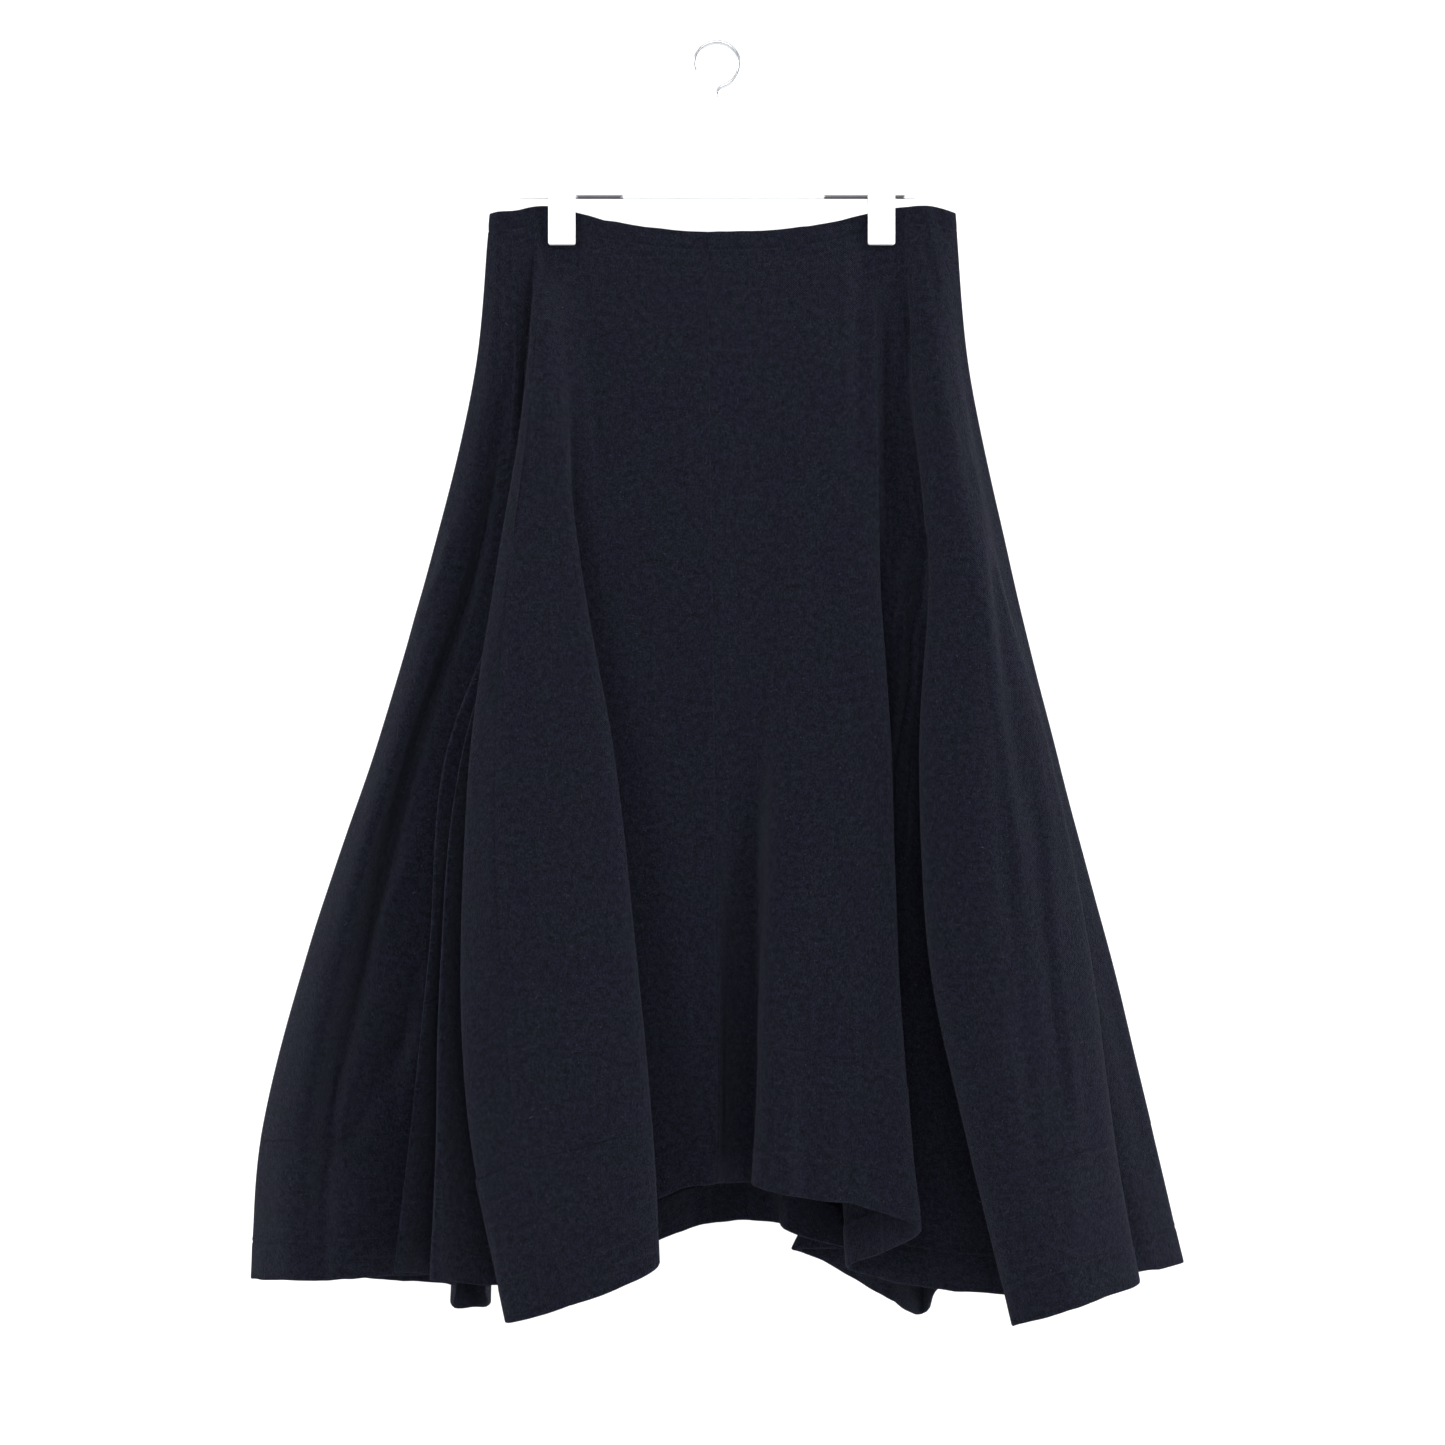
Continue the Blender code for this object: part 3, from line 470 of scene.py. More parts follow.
class FoldLine:
    """One fold line in true sizes: a layer that lies deeper measures small from the front by its depth."""

    def __init__(self, row):
        self.name, across, depth, hem = row
        depth = np.array(depth) / 1000
        scale = 1 + depth / VIEW_DISTANCE
        across = VIEW_CENTRE + (np.array(across) / 1000 - VIEW_CENTRE) * scale
        self.top = float(waist_height(across[0]))
        self.hem = VIEW_LEVEL + (hem / 1000 - VIEW_LEVEL) * scale[-1]
        self.heights = [self.top, *(level / 1000 for level in LEVELS), self.hem]
        self.across = across
        self.depth = depth

    def at(self, height):
        return np.stack(
            [through(self.heights, self.across, height), through(self.heights, self.depth, height)], axis=-1
        )


LINES = [FoldLine(row) for row in FRONT_FOLDS + BACK_FOLDS]
NUMBER = {line.name: index for index, line in enumerate(LINES)}


def knot_times(points):
    steps = np.linalg.norm(np.diff(points, axis=0), axis=-1)
    return np.concatenate([np.zeros((1, *steps.shape[1:])), np.cumsum(np.sqrt(steps), axis=0)])


def between(points, share):
    """The curve from the second to the third of four turns, at this share of the way."""
    time = knot_times(points)
    time[:, time[3] == 0] = np.arange(4)[:, None]
    now = time[1] + (time[2] - time[1]) * share

    def mix(a, b, start, end):
        weight = ((now - start) / np.maximum(end - start, 1e-9))[..., None]
        return a * (1 - weight) + b * weight

    first = mix(points[0], points[1], time[0], time[1])
    second = mix(points[1], points[2], time[1], time[2])
    third = mix(points[2], points[3], time[2], time[3])
    early = mix(first, second, time[0], time[2])
    late = mix(second, third, time[1], time[3])
    return mix(early, late, time[1], time[2])


def ease(values, share):
    """A height between two fold lines, out of those of four neighbours."""
    a, b, c, d = values
    turn_in = (c - a) / 2
    turn_out = (d - b) / 2
    return (
        b * (2 * share**3 - 3 * share**2 + 1)
        + turn_in * (share**3 - 2 * share**2 + share)
        + c * (3 * share**2 - 2 * share**3)
        + turn_out * (share**3 - share**2)
    )


def grip_at_clips(across, heights):
    """How firmly the clips hold the cloth together there, from 0 to 1, for each clip."""
    holds = []
    for _, centre in CLIP_CENTRES:
        beside = np.abs(across - centre) - CLIP_WIDTH / 2 - 0.002
        below = CLIP_FOOT - 0.003 - heights
        holds.append((1 - smooth_step(beside / PINCH_REACH_X)) * (1 - smooth_step(below / PINCH_REACH_Z)))
    return holds


def column(number, share, shares_down):
    """Points down the cloth, between a fold line and the next. Shares run from the waist, 0, by the seam, 1, to 2."""
    if share < 0:
        number, share = number - 1, share + 1
    if share > 1:
        number, share = number + 1, share - 1
    four = [LINES[(number + step) % len(LINES)] for step in (-1, 0, 1, 2)]
    top = waist_height(between(np.array([line.at([line.top]) for line in four]), share)[:, 0])
    hem = ease([line.hem for line in four], share)
    seam = hem + BAND_DEPTH
    down = np.asarray(shares_down)
    heights = np.where(down <= 1, top + (seam - top) * down, seam + (hem - seam) * (down - 1))
    points = between(np.array([line.at(heights) for line in four]), share)
    depth = points[:, 1]
    gripped = -PINCH if number % len(LINES) + share < NUMBER["right_edge"] else PINCH
    for hold in grip_at_clips(points[:, 0], heights):
        depth = depth * (1 - hold) + gripped * hold
    return np.stack([points[:, 0], depth, heights], axis=-1)


# Unevenness of the cloth


def soft_noise(across, down, seed):
    """Smooth uneven values from -1 to 1, one cell to each unit."""
    cells = 256
    lattice = np.random.default_rng(seed).uniform(-1, 1, (cells, cells))
    left, top = np.floor(across).astype(int), np.floor(down).astype(int)
    x, y = smooth_step(across - left), smooth_step(down - top)

    def value(i, j):
        return lattice[(left + i) % cells, (top + j) % cells]

    upper = value(0, 0) * (1 - x) + value(1, 0) * x
    lower = value(0, 1) * (1 - x) + value(1, 1) * x
    return upper * (1 - y) + lower * y


def uneven(kind, along, down):
    cell_along, cell_down, height, seed = UNEVEN[kind]
    return soft_noise(along / cell_along, down / cell_down, seed) * height


def place_on_path(across, heights, path):
    """Distance of each point from a path, and how far along it that is from its start and from its end."""
    path = np.array(path) / 1000
    lengths = np.linalg.norm(np.diff(path, axis=0), axis=1)
    nearest = np.full(across.shape, np.inf)
    along = np.zeros(across.shape)
    passed = 0.0
    for (x, z), (next_x, next_z), length in zip(path, path[1:], lengths):
        step_x, step_z = next_x - x, next_z - z
        share = np.clip(((across - x) * step_x + (heights - z) * step_z) / length**2, 0, 1)
        distance = np.hypot(across - x - share * step_x, heights - z - share * step_z)
        closer = distance < nearest
        nearest = np.where(closer, distance, nearest)
        along = np.where(closer, passed + share * length, along)
        passed += length
    return nearest, along, passed - along


def line_span(first, last, number):
    """Which columns lie from one fold line to another, going on round the skirt."""
    start, end = NUMBER[first], NUMBER[last]
    if end < start:
        end += len(LINES)
    offset = (number - start) % len(LINES)
    width = end - start
    inside = offset <= width
    return inside, np.where(inside, offset / width, 0.0)


def unevenness(grid, number, along_hem):
    """How far each point of the cloth stands out from its fold lines' surface, in metres."""
    depth_scale = 1 + grid[..., 1] / VIEW_DISTANCE
    seen_across = VIEW_CENTRE + (grid[..., 0] - VIEW_CENTRE) / depth_scale
    seen_height = VIEW_LEVEL + (grid[..., 2] - VIEW_LEVEL) / depth_scale
    below_waist = grid[:, :1, 2] - grid[..., 2]
    out = np.zeros(grid.shape[:2])
    for _, first, last, path, width, height, ends in CREASES + BACK_CREASES:
        inside, across = line_span(first, last, number)
        if not inside.any():
            continue
        distance, gone, to_go = place_on_path(seen_across, seen_height, path)
        fade = smooth_step(gone * 1000 / ends[0]) * smooth_step(to_go * 1000 / ends[1])
        edge = smooth_step(np.minimum(across, 1 - across) / CREASE_MARGIN)
        mark = height / 1000 * np.exp(-((distance * 1000 / width) ** 2)) * fade
        out += np.where(inside[:, None], mark * edge[:, None], 0.0)
    for row, (first, last, top, foot, apart, length, height) in enumerate(WRINKLES):
        inside, across = line_span(first, last, number)
        if not inside.any():
            continue
        lean = WRINKLE_LEAN * (row % 3 - 1)
        across_cells = (along_hem[:, None] + lean * seen_height) * 1000 / apart
        waves = soft_noise(across_cells, seen_height * 1000 / length, WRINKLE_SEED + row)
        reach = smooth_step((top / 1000 - seen_height) / WRINKLE_FADE_IN)
        reach = reach * smooth_step((seen_height - foot / 1000) / WRINKLE_FADE_OUT)
        edge = smooth_step(np.minimum(across, 1 - across) / WRINKLE_MARGIN)
        out += np.where(inside[:, None], waves * height / 1000 * reach * edge[:, None], 0.0)
    by_chance = uneven("lumps", along_hem[:, None], seen_height) + uneven("ripples", along_hem[:, None], seen_height)
    return out + by_chance * smooth_step((below_waist - CALM_WAIST) / CALM_WAIST_FADE)


def edge_round(distance, half_wall):
    """Share of the wall that is left at this distance from a rounded edge."""
    share = np.clip(distance / half_wall, 0.0, 1.0)
    return np.sqrt(np.clip(1 - (1 - share) ** 2, 0.0, 1.0))


# Sheets of cloth


def spaced(length, step):
    """Shares from 0 to 1 about a step apart, and closer together at both ends."""
    inner = np.linspace(0.0, 1.0, max(round(length / step), 6) + 1)
    near = np.array(EDGE_STEPS) / length
    middle = inner[(inner > near[-1] * 1.3) & (inner < 1 - near[-1] * 1.3)]
    return np.concatenate([near, middle, 1 - near[::-1]])


def hem_length(a, b):
    return math.dist((a.across[-1], a.depth[-1]), (b.across[-1], b.depth[-1]))


def column_places(start, end):
    """Fold line numbers, with shares as decimals, from one seam to the other."""
    if end < start:
        end += len(LINES)
    numbers = []
    for number in range(start, end):
        a, b = LINES[number % len(LINES)], LINES[(number + 1) % len(LINES)]
        count = max(round(hem_length(a, b) / FINE_COLUMN), 4)
        numbers += [number + step / count for step in range(count)]
    numbers = np.array(numbers[1:])
    first = hem_length(LINES[start % len(LINES)], LINES[(start + 1) % len(LINES)])
    last = hem_length(LINES[(end - 1) % len(LINES)], LINES[end % len(LINES)])
    near_start = start + np.array(EDGE_STEPS) / first
    near_end = end - np.array(EDGE_STEPS[::-1]) / last
    middle = numbers[(numbers > near_start[-1] + 0.02) & (numbers < near_end[0] - 0.02)]
    return np.concatenate([near_start, middle, near_end])


def surface(numbers, shares_down):
    """Grid of points with their outward directions, over the columns and down the rows."""

    def at(number):
        whole = int(math.floor(number + 1e-9))
        return column(whole, number - whole, shares_down)

    nudge = 0.015
    grid = np.array([at(number) for number in numbers])
    along = np.array([at(number + nudge) for number in numbers]) - np.array([at(number - nudge) for number in numbers])
    down = np.gradient(grid, axis=1)
    outward = np.cross(down, along)
    outward /= np.linalg.norm(outward, axis=-1, keepdims=True)
    return grid, outward


def along_at_hem(numbers):
    """Distance round the hem to each column, from the left edge."""
    lengths = [hem_length(LINES[i], LINES[(i + 1) % len(LINES)]) for i in range(len(LINES))]
    starts = np.concatenate([[0.0], np.cumsum(lengths)])
    whole = np.floor(numbers).astype(int)
    turns = whole // len(LINES)
    return starts[whole % len(LINES)] + (numbers - whole) * np.array(lengths)[whole % len(LINES)] + turns * starts[-1]


def arc_lengths(grid, axis):
    steps = np.linalg.norm(np.diff(grid, axis=axis), axis=-1)
    total = np.cumsum(steps, axis=axis)
    return np.concatenate([np.zeros_like(np.take(total, [0], axis=axis)), total], axis=axis)


class Sheet:
    """One sheet of cloth: its middle surface, the outward directions, and the faces of its wall."""

    def __init__(self, name, start, end, shares_down, band):
        self.name = name
        numbers = column_places(NUMBER[start], NUMBER[end])
        self.grid, self.outward = surface(numbers, shares_down)
        self.numbers = numbers
        self.band = band
        round_hem = along_at_hem(numbers)
        across = arc_lengths(self.grid, 0)
        down = arc_lengths(self.grid, 1)
        from_seam = np.minimum(across, across[-1] - across)
        self.uv = np.stack([across - across[-1] / 2, -down], axis=-1)
        held = np.clip(sum(grip_at_clips(self.grid[..., 0], self.grid[..., 2])), 0, 1)
        free = 1 - held
        out = unevenness(self.grid, numbers % len(LINES), round_hem) * free
        outer = np.full(out.shape, CLOTH / 2)
        inner = outer.copy()
        ends_shown = [1.0 if band else BODY_SEAM.get(line, PLAIN_SEAM) for line in (start, end)]
        shown = np.where(across < across[-1] - across, *ends_shown)
        outer *= 1 - LONG_GROOVE * shown * (1 - edge_round(from_seam, LONG_GROOVE_REACH))
        pressed_open = smooth_step((ALLOWANCE - from_seam) / ALLOWANCE_FADE) * smooth_step(from_seam / 0.003)
        out += LONG_RIDGE * pressed_open * shown * free
        if end == "centre_front" and not band:
            beside_line = (across[-1] - across - CENTRE_LINE_ASIDE) / CENTRE_LINE_REACH
            outer -= CENTRE_LINE * np.exp(-(beside_line**2)) * free
        if band:
            self.finish_hem(out, outer, inner, down, round_hem)
        else:
            self.finish_waist(out, outer, inner, down, round_hem, free)
        out *= np.where(held > 0.5, 0.0, free)
        self.outer = self.grid + self.outward * (out + outer)[..., None]
        self.inner = self.grid + self.outward * (out - inner)[..., None]
        self.part_from_neighbours()

    def finish_waist(self, out, outer, inner, from_top, round_hem, free):
        """The turned edge with its line of stitches, slightly puckered, and the ditch of the band seam below."""
        from_seam = from_top[:, -1:] - from_top
        round_waist = arc_lengths(self.grid[:, :1], 0) + round_hem[0]
        puckered = uneven("waist puckers", round_waist, from_top) + uneven("waist waves", round_waist, from_top)
        near_top = 1 - smooth_step((from_top - WAIST_PUCKER_START) / WAIST_PUCKER_FADE)
        out += puckered * near_top * free
        turned = smooth_step((WAIST_TURN - from_top) / WAIST_TURN_FADE)
        outer += WAIST_RISE * turned * free
        inner += TURNED_LAYER * WAIST_TURN_SHARE * turned * free
        stitched = np.exp(-(((from_top - WAIST_STITCH) / DRAWN_IN_REACH) ** 2))
        drawn_in = 0.75 + uneven("waist stitches", round_waist, from_top)
        outer -= WAIST_DRAWN_IN * stitched * drawn_in * free
        edge = WAIST_LEFT + (1 - WAIST_LEFT) * edge_round(from_top, WAIST_ROUND)
        outer *= edge
        inner *= edge
        outer *= 1 - BAND_GROOVE * self.seam_shown()[:, None] * (1 - edge_round(from_seam, BAND_GROOVE_REACH))
        lift = uneven("waist edge", round_waist[:, 0], round_hem * 0) * free[:, 0]
        self.grid[..., 2] += lift[:, None] * near_top

    def finish_hem(self, out, outer, inner, down, round_hem):
        """The turned-up hem with its line of stitches, and ripples where the bias cloth was eased in."""
        to_hem = down[:, -1:] - down
        rippled = uneven("hem easing", round_hem[:, None], to_hem) + uneven("hem waves", round_hem[:, None], to_hem)
        near_hem = 1 - smooth_step((to_hem - HEM_STITCH * 0.6) / (HEM_STITCH * 0.9))
        fuller = 1 + smooth_step((self.grid[..., 1] - 0.004) / 0.01)  # the hem ripples more at the back
        out += rippled * near_hem * fuller
        pressed = smooth_step(down / 0.002) * smooth_step((ALLOWANCE - down) / ALLOWANCE_FADE)
        out += BAND_RIDGE * pressed * self.seam_shown()[:, None]
        turned = smooth_step((HEM_TURN - to_hem) / HEM_TURN_FADE)
        outer += HEM_RISE * turned
        inner += TURNED_LAYER * turned
        outer -= HEM_DRAWN_IN * np.exp(-(((to_hem - HEM_STITCH) / DRAWN_IN_REACH) ** 2))
        edge = HEM_LEFT + (1 - HEM_LEFT) * edge_round(to_hem, HEM_ROUND)
        outer *= edge
        inner *= edge
        outer *= 1 - BAND_GROOVE * self.seam_shown()[:, None] * (1 - edge_round(down, BAND_GROOVE_REACH))
        drop = uneven("hem edge", round_hem, round_hem * 0) + uneven("hem edge nicks", round_hem, round_hem * 0)
        self.grid[..., 2] += drop[:, None] * near_hem

    def seam_shown(self):
        """How clearly the seam between the gore and its band shows at each column."""
        places, shown = zip(*[(NUMBER[line], value) for line, value in BAND_SEAM])
        return np.interp(self.numbers % len(LINES), places, shown, period=len(LINES))

    def part_from_neighbours(self):
        """Draws the two seams and the row at the band's seam back by half of the gap."""

        def draw_back(edge, towards):
            step = towards - edge
            edge += step / np.maximum(np.linalg.norm(step, axis=-1, keepdims=True), 1e-9) * SEAM_GAP / 2

        for side in (self.outer, self.inner):
            draw_back(side[0], side[1])
            draw_back(side[-1], side[-2])
            row, next_row = (0, 1) if self.band else (-1, -2)
            draw_back(side[:, row], side[:, next_row])

    def make(self, finish):
        columns, rows = self.grid.shape[:2]
        count = columns * rows
        outer = np.arange(count).reshape(columns, rows)
        inner = outer + count

        def quads(a, b, c, d):
            return np.stack([a, b, c, d], axis=-1).reshape(-1, 4)

        faces = np.concatenate(
            [
                quads(outer[:-1, :-1], outer[:-1, 1:], outer[1:, 1:], outer[1:, :-1]),
                quads(inner[:-1, :-1], inner[1:, :-1], inner[1:, 1:], inner[:-1, 1:]),
                quads(outer[:-1, 0], outer[1:, 0], inner[1:, 0], inner[:-1, 0]),
                quads(outer[:-1, -1], inner[:-1, -1], inner[1:, -1], outer[1:, -1]),
                quads(outer[0, :-1], inner[0, :-1], inner[0, 1:], outer[0, 1:]),
                quads(outer[-1, :-1], outer[-1, 1:], inner[-1, 1:], inner[-1, :-1]),
            ]
        )
        points = np.concatenate([self.outer.reshape(-1, 3), self.inner.reshape(-1, 3)])
        uv = np.concatenate([self.uv.reshape(-1, 2)] * 2)
        piece = mesh_piece(self.name, points, faces, finish)
        layer = piece.data.uv_layers.new(name="cloth")
        layer.data.foreach_set("uv", uv[faces.ravel()].astype(np.float32).ravel())
        piece.data.shade_smooth()
        piece.data.set_sharp_from_angle(angle=math.radians(SHARP_FOLD))
        return piece


def mesh_piece(name, points, faces, finish):
    mesh = bpy.data.meshes.new(name)
    mesh.vertices.add(len(points))
    mesh.vertices.foreach_set("co", points.astype(np.float32).ravel())
    mesh.loops.add(faces.size)
    mesh.loops.foreach_set("vertex_index", faces.astype(np.int32).ravel())
    mesh.polygons.add(len(faces))
    mesh.polygons.foreach_set("loop_start", np.arange(0, faces.size, faces.shape[1], dtype=np.int32))
    mesh.update(calc_edges=True)
    mesh.validate()
    mesh.materials.append(finish)
    piece = bpy.data.objects.new(name, mesh)
    bpy.context.scene.collection.objects.link(piece)
    return piece


def make_cloth(wool):
    """The six gores and the six hem bands."""
    stitched = np.array(STITCH_STEPS)
    near_waist = (WAIST_STITCH + stitched) / GORE_LENGTH
    waist_turn = np.array([WAIST_TURN, WAIST_TURN + WAIST_TURN_FADE]) / GORE_LENGTH
    body_rows = np.unique(np.concatenate([spaced(GORE_LENGTH, FINE_ROW), near_waist, waist_turn]))
    near_hem = 1 - (HEM_STITCH + stitched) / BAND_DEPTH
    hem_turn = 1 - np.array([HEM_TURN, HEM_TURN - HEM_TURN_FADE]) / BAND_DEPTH
    band_rows = 1 + np.unique(np.concatenate([spaced(BAND_DEPTH, FINE_ROW), near_hem, hem_turn]))
    sheets = []
    for name, start, end, width, length, area, band_width in GORES:
        gore = Sheet(f"cloth_{name}", start, end, body_rows, band=False)
        piece = gore.make(wool)
        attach(piece, "root")
        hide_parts(name)
        band = Sheet(f"hem_{name}", start, end, band_rows, band=True)
        strip = band.make(wool)
        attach(strip, "root")
        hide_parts(f"band_{name}")
        sheets.append((gore, band))
    return sheets


# Materials


def new_material(name):
    material = bpy.data.materials.new(name)
    material.use_nodes = True
    return material, material.node_tree, material.node_tree.nodes["Principled BSDF"]


def add_node(tree, kind, **values):
    node = tree.nodes.new(kind)
    for key, value in values.items():
        setattr(node, key, value)
    return node


def maths(tree, operation, first, second=None):
    node = add_node(tree, "ShaderNodeMath", operation=operation)
    for socket, value in zip(node.inputs, (first, second)):
        if value is None:
            continue
        if isinstance(value, (int, float)):
            socket.default_value = value
        else:
            tree.links.new(value, socket)
    return node.outputs[0]


def noise(tree, place, scale, detail=3.0, rough=0.6, stretch=None, flat=False):
    if stretch:
        mapping = add_node(tree, "ShaderNodeMapping")
        mapping.inputs["Scale"].default_value = stretch
        tree.links.new(place, mapping.inputs["Vector"])
        place = mapping.outputs["Vector"]
    node = add_node(tree, "ShaderNodeTexNoise", noise_dimensions="2D" if flat else "3D")
    node.inputs["Scale"].default_value = scale
    node.inputs["Detail"].default_value = detail
    node.inputs["Roughness"].default_value = rough
    tree.links.new(place, node.inputs["Vector"])
    return node.outputs["Fac"]


def weighted_sum(tree, *parts):
    total = None
    for value, weight in parts:
        part = maths(tree, "MULTIPLY", value, weight)
        total = part if total is None else maths(tree, "ADD", total, part)
    return total


def fit_range(tree, value, low, high, new_low=0.0, new_high=1.0):
    node = add_node(tree, "ShaderNodeMapRange", interpolation_type="SMOOTHSTEP")
    for key, number in (("From Min", low), ("From Max", high), ("To Min", new_low), ("To Max", new_high)):
        node.inputs[key].default_value = number
    tree.links.new(value, node.inputs["Value"])
    return node.outputs["Result"]


def mix_colour(tree, factor, first, second, blend="MIX"):
    node = add_node(tree, "ShaderNodeMix", data_type="RGBA", blend_type=blend)
    sockets = (node.inputs[0], node.inputs[6], node.inputs[7])
    for socket, value in zip(sockets, (factor, first, second)):
        if isinstance(value, (int, float)):
            socket.default_value = value
        elif isinstance(value, tuple):
            socket.default_value = (*value, 1.0)
        else:
            tree.links.new(value, socket)
    return node.outputs[2]


def new_group(name, inputs, outputs):
    tree = bpy.data.node_groups.new(name, "ShaderNodeTree")
    for socket, kind in inputs:
        tree.interface.new_socket(name=socket, in_out="INPUT", socket_type=kind)
    for socket, kind in outputs:
        tree.interface.new_socket(name=socket, in_out="OUTPUT", socket_type=kind)
    return tree, tree.nodes.new("NodeGroupInput").outputs, tree.nodes.new("NodeGroupOutput").inputs


def use_group(tree, group, place, **values):
    node = add_node(tree, "ShaderNodeGroup", node_tree=group)
    tree.links.new(place, node.inputs["Place"])
    for key, value in values.items():
        node.inputs[key.replace("_", " ")].default_value = value
    return node.outputs


def fulled_cloth_group():
    """Yarns, felted fibres and flecks of a fulled wool. Place is metres across and down the cloth."""
    tree, given, out = new_group(
        "Fulled cloth",
        [("Place", "NodeSocketVector"), ("Yarns per metre", "NodeSocketFloat")],
        [
            ("Height", "NodeSocketFloat"),
            ("Heather", "NodeSocketFloat"),
            ("Patches", "NodeSocketFloat"),
            ("Neps", "NodeSocketFloat"),
            ("Red flecks", "NodeSocketFloat"),
        ],
    )
    place = given["Place"]
    split = add_node(tree, "ShaderNodeSeparateXYZ")
    tree.links.new(place, split.inputs[0])
    clumps = noise(tree, place, 210, 3.0, 0.65, flat=True)
    wander = maths(tree, "MULTIPLY", clumps, 0.9)
    diagonal = maths(tree, "ADD", split.outputs["X"], split.outputs["Y"])
    turns = maths(tree, "MULTIPLY", diagonal, given["Yarns per metre"])
    turns = maths(tree, "ADD", maths(tree, "MULTIPLY", turns, 2 * math.pi), wander)
    twill = maths(tree, "SINE", turns)
    cross = maths(tree, "SUBTRACT", split.outputs["X"], split.outputs["Y"])
    cross = maths(tree, "MULTIPLY", maths(tree, "MULTIPLY", cross, given["Yarns per metre"]), 4.1 * math.pi)
    cross = maths(tree, "SINE", cross)
    fibres = noise(tree, place, 620, 3.0, 0.76, flat=True)
    upright = noise(tree, place, 1.0, 2.0, 0.7, stretch=(1100, 260, 1), flat=True)
    level = noise(tree, place, 1.0, 2.0, 0.7, stretch=(240, 900, 1), flat=True)
    yarns = ((twill, 0.10), (cross, 0.05), (fibres, 0.75), (upright, 0.30), (level, 0.22), (clumps, 0.55))
    tree.links.new(weighted_sum(tree, *yarns), out["Height"])
    heather = weighted_sum(tree, (fibres, 0.5), (upright, 0.3), (clumps, 0.3))
    tree.links.new(fit_range(tree, heather, 0.40, 0.72), out["Heather"])
    tree.links.new(fit_range(tree, noise(tree, place, 26, 3.0, 0.6, flat=True), 0.35, 0.68), out["Patches"])
    for socket, scale, size, share in (("Neps", 150, 0.075, 0.10), ("Red flecks", 210, 0.13, 0.22)):
        cells = add_node(tree, "ShaderNodeTexVoronoi", feature="F1", voronoi_dimensions="2D")
        cells.inputs["Scale"].default_value = scale
        tree.links.new(place, cells.inputs["Vector"])
        dot = fit_range(tree, cells.outputs["Distance"], size, size * 0.4)
        chosen = add_node(tree, "ShaderNodeSeparateColor")
        tree.links.new(cells.outputs["Color"], chosen.inputs[0])
        kept = maths(tree, "LESS_THAN", chosen.outputs[0], share)
        tree.links.new(maths(tree, "MULTIPLY", dot, kept), out[socket])
    return tree


def surface_grain_group():
    """Fine grain, smudges and light dust of a hard surface. Place is metres on the piece."""
    tree, given, out = new_group(
        "Surface grain",
        [("Place", "NodeSocketVector"), ("Grain size", "NodeSocketFloat")],
        [("Height", "NodeSocketFloat"), ("Smudges", "NodeSocketFloat"), ("Dust", "NodeSocketFloat")],
    )
    place = given["Place"]
    scaled = add_node(tree, "ShaderNodeVectorMath", operation="SCALE")
    tree.links.new(place, scaled.inputs[0])
    tree.links.new(given["Grain size"], scaled.inputs["Scale"])
    tree.links.new(noise(tree, scaled.outputs[0], 1.0, 4.0, 0.6), out["Height"])
    tree.links.new(fit_range(tree, noise(tree, place, 55, 3.0, 0.55), 0.42, 0.70), out["Smudges"])
    tree.links.new(fit_range(tree, noise(tree, place, 900, 2.0, 0.5), 0.60, 0.80), out["Dust"])
    return tree


def uv_place(tree):
    return add_node(tree, "ShaderNodeUVMap", uv_map="cloth").outputs["UV"]


def object_place(tree):
    return add_node(tree, "ShaderNodeTexCoord").outputs["Object"]


def bump(tree, shader, height, strength, distance):
    node = add_node(tree, "ShaderNodeBump")
    node.inputs["Strength"].default_value = strength
    node.inputs["Distance"].default_value = distance
    tree.links.new(height, node.inputs["Height"])
    tree.links.new(node.outputs["Normal"], shader.inputs["Normal"])


def set_shader(shader, **values):
    for key, value in values.items():
        shader.inputs[key.replace("_", " ")].default_value = value


def wool_material(group):
    material, tree, shader = new_material("Dark navy fulled wool")
    cloth = use_group(tree, group, uv_place(tree), Yarns_per_metre=620.0)
    colour = mix_colour(tree, cloth["Heather"], (0.0029, 0.0034, 0.0071), (0.0161, 0.0180, 0.0322))
    patches = mix_colour(tree, cloth["Patches"], (0.98, 0.92, 1.00), (1.00, 1.06, 0.98))
    colour = mix_colour(tree, 1.0, colour, patches, "MULTIPLY")
    red = maths(tree, "MULTIPLY", cloth["Red flecks"], 0.55)
    colour = mix_colour(tree, red, colour, (0.030, 0.015, 0.022))
    neps = maths(tree, "MULTIPLY", cloth["Neps"], 0.6)
    colour = mix_colour(tree, neps, colour, (0.075, 0.080, 0.100))
    tree.links.new(colour, shader.inputs["Base Color"])
    set_shader(shader, Roughness=0.92, Specular_IOR_Level=0.06, Sheen_Weight=0.06, Sheen_Roughness=0.30)
    set_shader(shader, Sheen_Tint=(0.72, 0.78, 1.0, 1.0))
    bump(tree, shader, cloth["Height"], 1.0, 0.0028)
    return material


def strand_material(group, name, yarns, dark, light, **values):
    """Thread, lint or loose fibres, in two tones."""
    material, tree, shader = new_material(name)
    cloth = use_group(tree, group, object_place(tree), Yarns_per_metre=yarns)
    tree.links.new(mix_colour(tree, cloth["Heather"], dark, light), shader.inputs["Base Color"])
    set_shader(shader, **values)
    return material, tree, shader, cloth


def thread_material(group):
    material, tree, shader, cloth = strand_material(
        group,
        "Navy sewing thread",
        2400.0,
        (0.0024, 0.0029, 0.0055),
        (0.0070, 0.0080, 0.0130),
        Roughness=0.75,
        Specular_IOR_Level=0.12,
    )
    bump(tree, shader, cloth["Height"], 0.4, 0.0002)
    return material


def lint_material(group):
    return strand_material(group, "Pale lint", 900.0, (0.07, 0.07, 0.08), (0.26, 0.26, 0.28), Roughness=0.9)[0]


